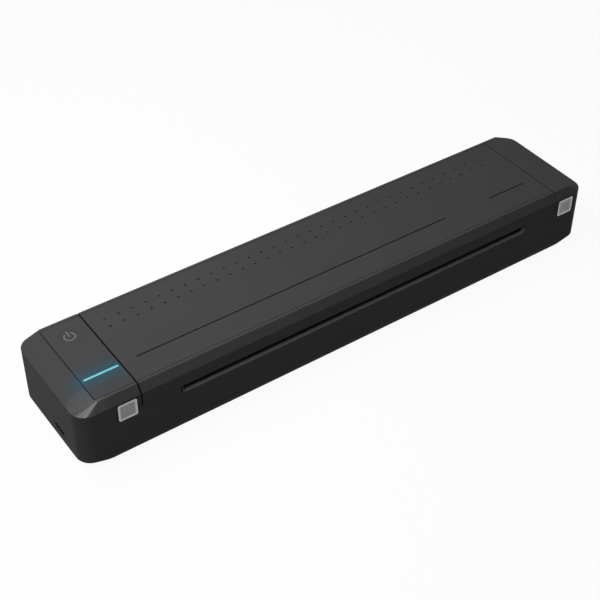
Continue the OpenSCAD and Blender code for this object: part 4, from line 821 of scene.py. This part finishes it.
# Lamps: soft boxes, width by length in metres, the length lying along the object's depth.
# Each shines at aim from a direction and a distance in metres.
lamps = {
    "keyLamp": {"aim": (-0.150, -0.028, 0.036), "from": (-0.41, -0.19, 0.89), "distance": 1.0,
                "size": (0.12, 1.0), "power": 7.6},
    "nearLamp": {"aim": (-0.12, 0, 0.03), "from": (-0.10, 0.34, 0.92), "distance": 0.45,
                 "size": (0.30, 0.30), "power": 1.3},
    "rearLamp": {"aim": (0, 0, 0.03), "from": (0.10, 0.85, 0.50), "distance": 1.0,
                 "size": (0.60, 0.60), "power": 0.8},
}
studio = {"fill": 0.05, "background": "#ffffff", "floorSize": 6,
          "floorColour": "#6c6c6c",   # what the floor throws back at the object
          "floorSeen": "#e8e8e8", "floorGlow": 0.93}   # what the camera and shiny things see


def makeLamp(name, spec):
    data = bpy.data.lights.new(name, "AREA")
    data.shape = "RECTANGLE"
    data.size, data.size_y = spec["size"]
    data.energy = spec["power"]
    lamp = bpy.data.objects.new(name, data)
    bpy.context.scene.collection.objects.link(lamp)
    direction = Vector(spec["from"]).normalized()
    length = (Vector((0, 1, 0)) - direction * direction.y).normalized()
    turn = Matrix((length.cross(direction), length, direction)).transposed().to_4x4()
    lamp.matrix_world = Matrix.Translation(Vector(spec["aim"]) + direction * spec["distance"]) @ turn


def seenRays(tree):  # 1 for camera, glossy and transmission rays
    path = addNode(tree, "LightPath")
    shiny = addNode(tree, "Math", {"operation": "MAXIMUM"},
                    links={0: path.outputs["Is Glossy Ray"], 1: path.outputs["Is Transmission Ray"]})
    seen = addNode(tree, "Math", {"operation": "MAXIMUM"},
                   links={0: path.outputs["Is Camera Ray"], 1: shiny.outputs[0]})
    return seen.outputs[0]


def makeWorld():
    world = bpy.data.worlds.new("studio")
    bpy.context.scene.world = world
    world.use_nodes = True
    tree = world.node_tree
    tree.nodes.clear()
    fill = addNode(tree, "Background", values={"Strength": studio["fill"]})
    fill.inputs["Color"].default_value = (1, 1, 1, 1)
    white = addNode(tree, "Background",
                    values={"Color": linearColour(studio["background"]), "Strength": 1.0})
    mixed = addNode(tree, "MixShader",
                    links={0: seenRays(tree), 1: fill.outputs[0], 2: white.outputs[0]})
    addNode(tree, "OutputWorld", links={"Surface": mixed.outputs[0]})


def makeFloor():
    mesh = bmesh.new()
    bmesh.ops.create_grid(mesh, x_segments=8, y_segments=8, size=studio["floorSize"] / 2)
    floor = placeMesh("floor", mesh)
    material = bpy.data.materials.new("paper sweep")
    material.use_nodes = True
    tree = material.node_tree
    tree.nodes.clear()
    matt = addNode(tree, "BsdfDiffuse", values={"Color": linearColour(studio["floorColour"])})
    paper = addNode(tree, "BsdfDiffuse", values={"Color": linearColour(studio["floorSeen"])})
    glow = addNode(tree, "Emission", values={"Color": (1, 1, 1, 1), "Strength": 1.0})
    pale = addNode(tree, "MixShader", values={0: studio["floorGlow"]},
                   links={1: paper.outputs[0], 2: glow.outputs[0]})
    mixed = addNode(tree, "MixShader", links={0: seenRays(tree), 1: matt.outputs[0], 2: pale.outputs[0]})
    addNode(tree, "OutputMaterial", links={"Surface": mixed.outputs[0]})
    floor.data.materials.append(material)


makeCamera()
for name, spec in lamps.items():
    makeLamp(name, spec)
makeWorld()
makeFloor()
bpy.context.scene.view_settings.view_transform = "Standard"
print("camera, lamps and floor ready")
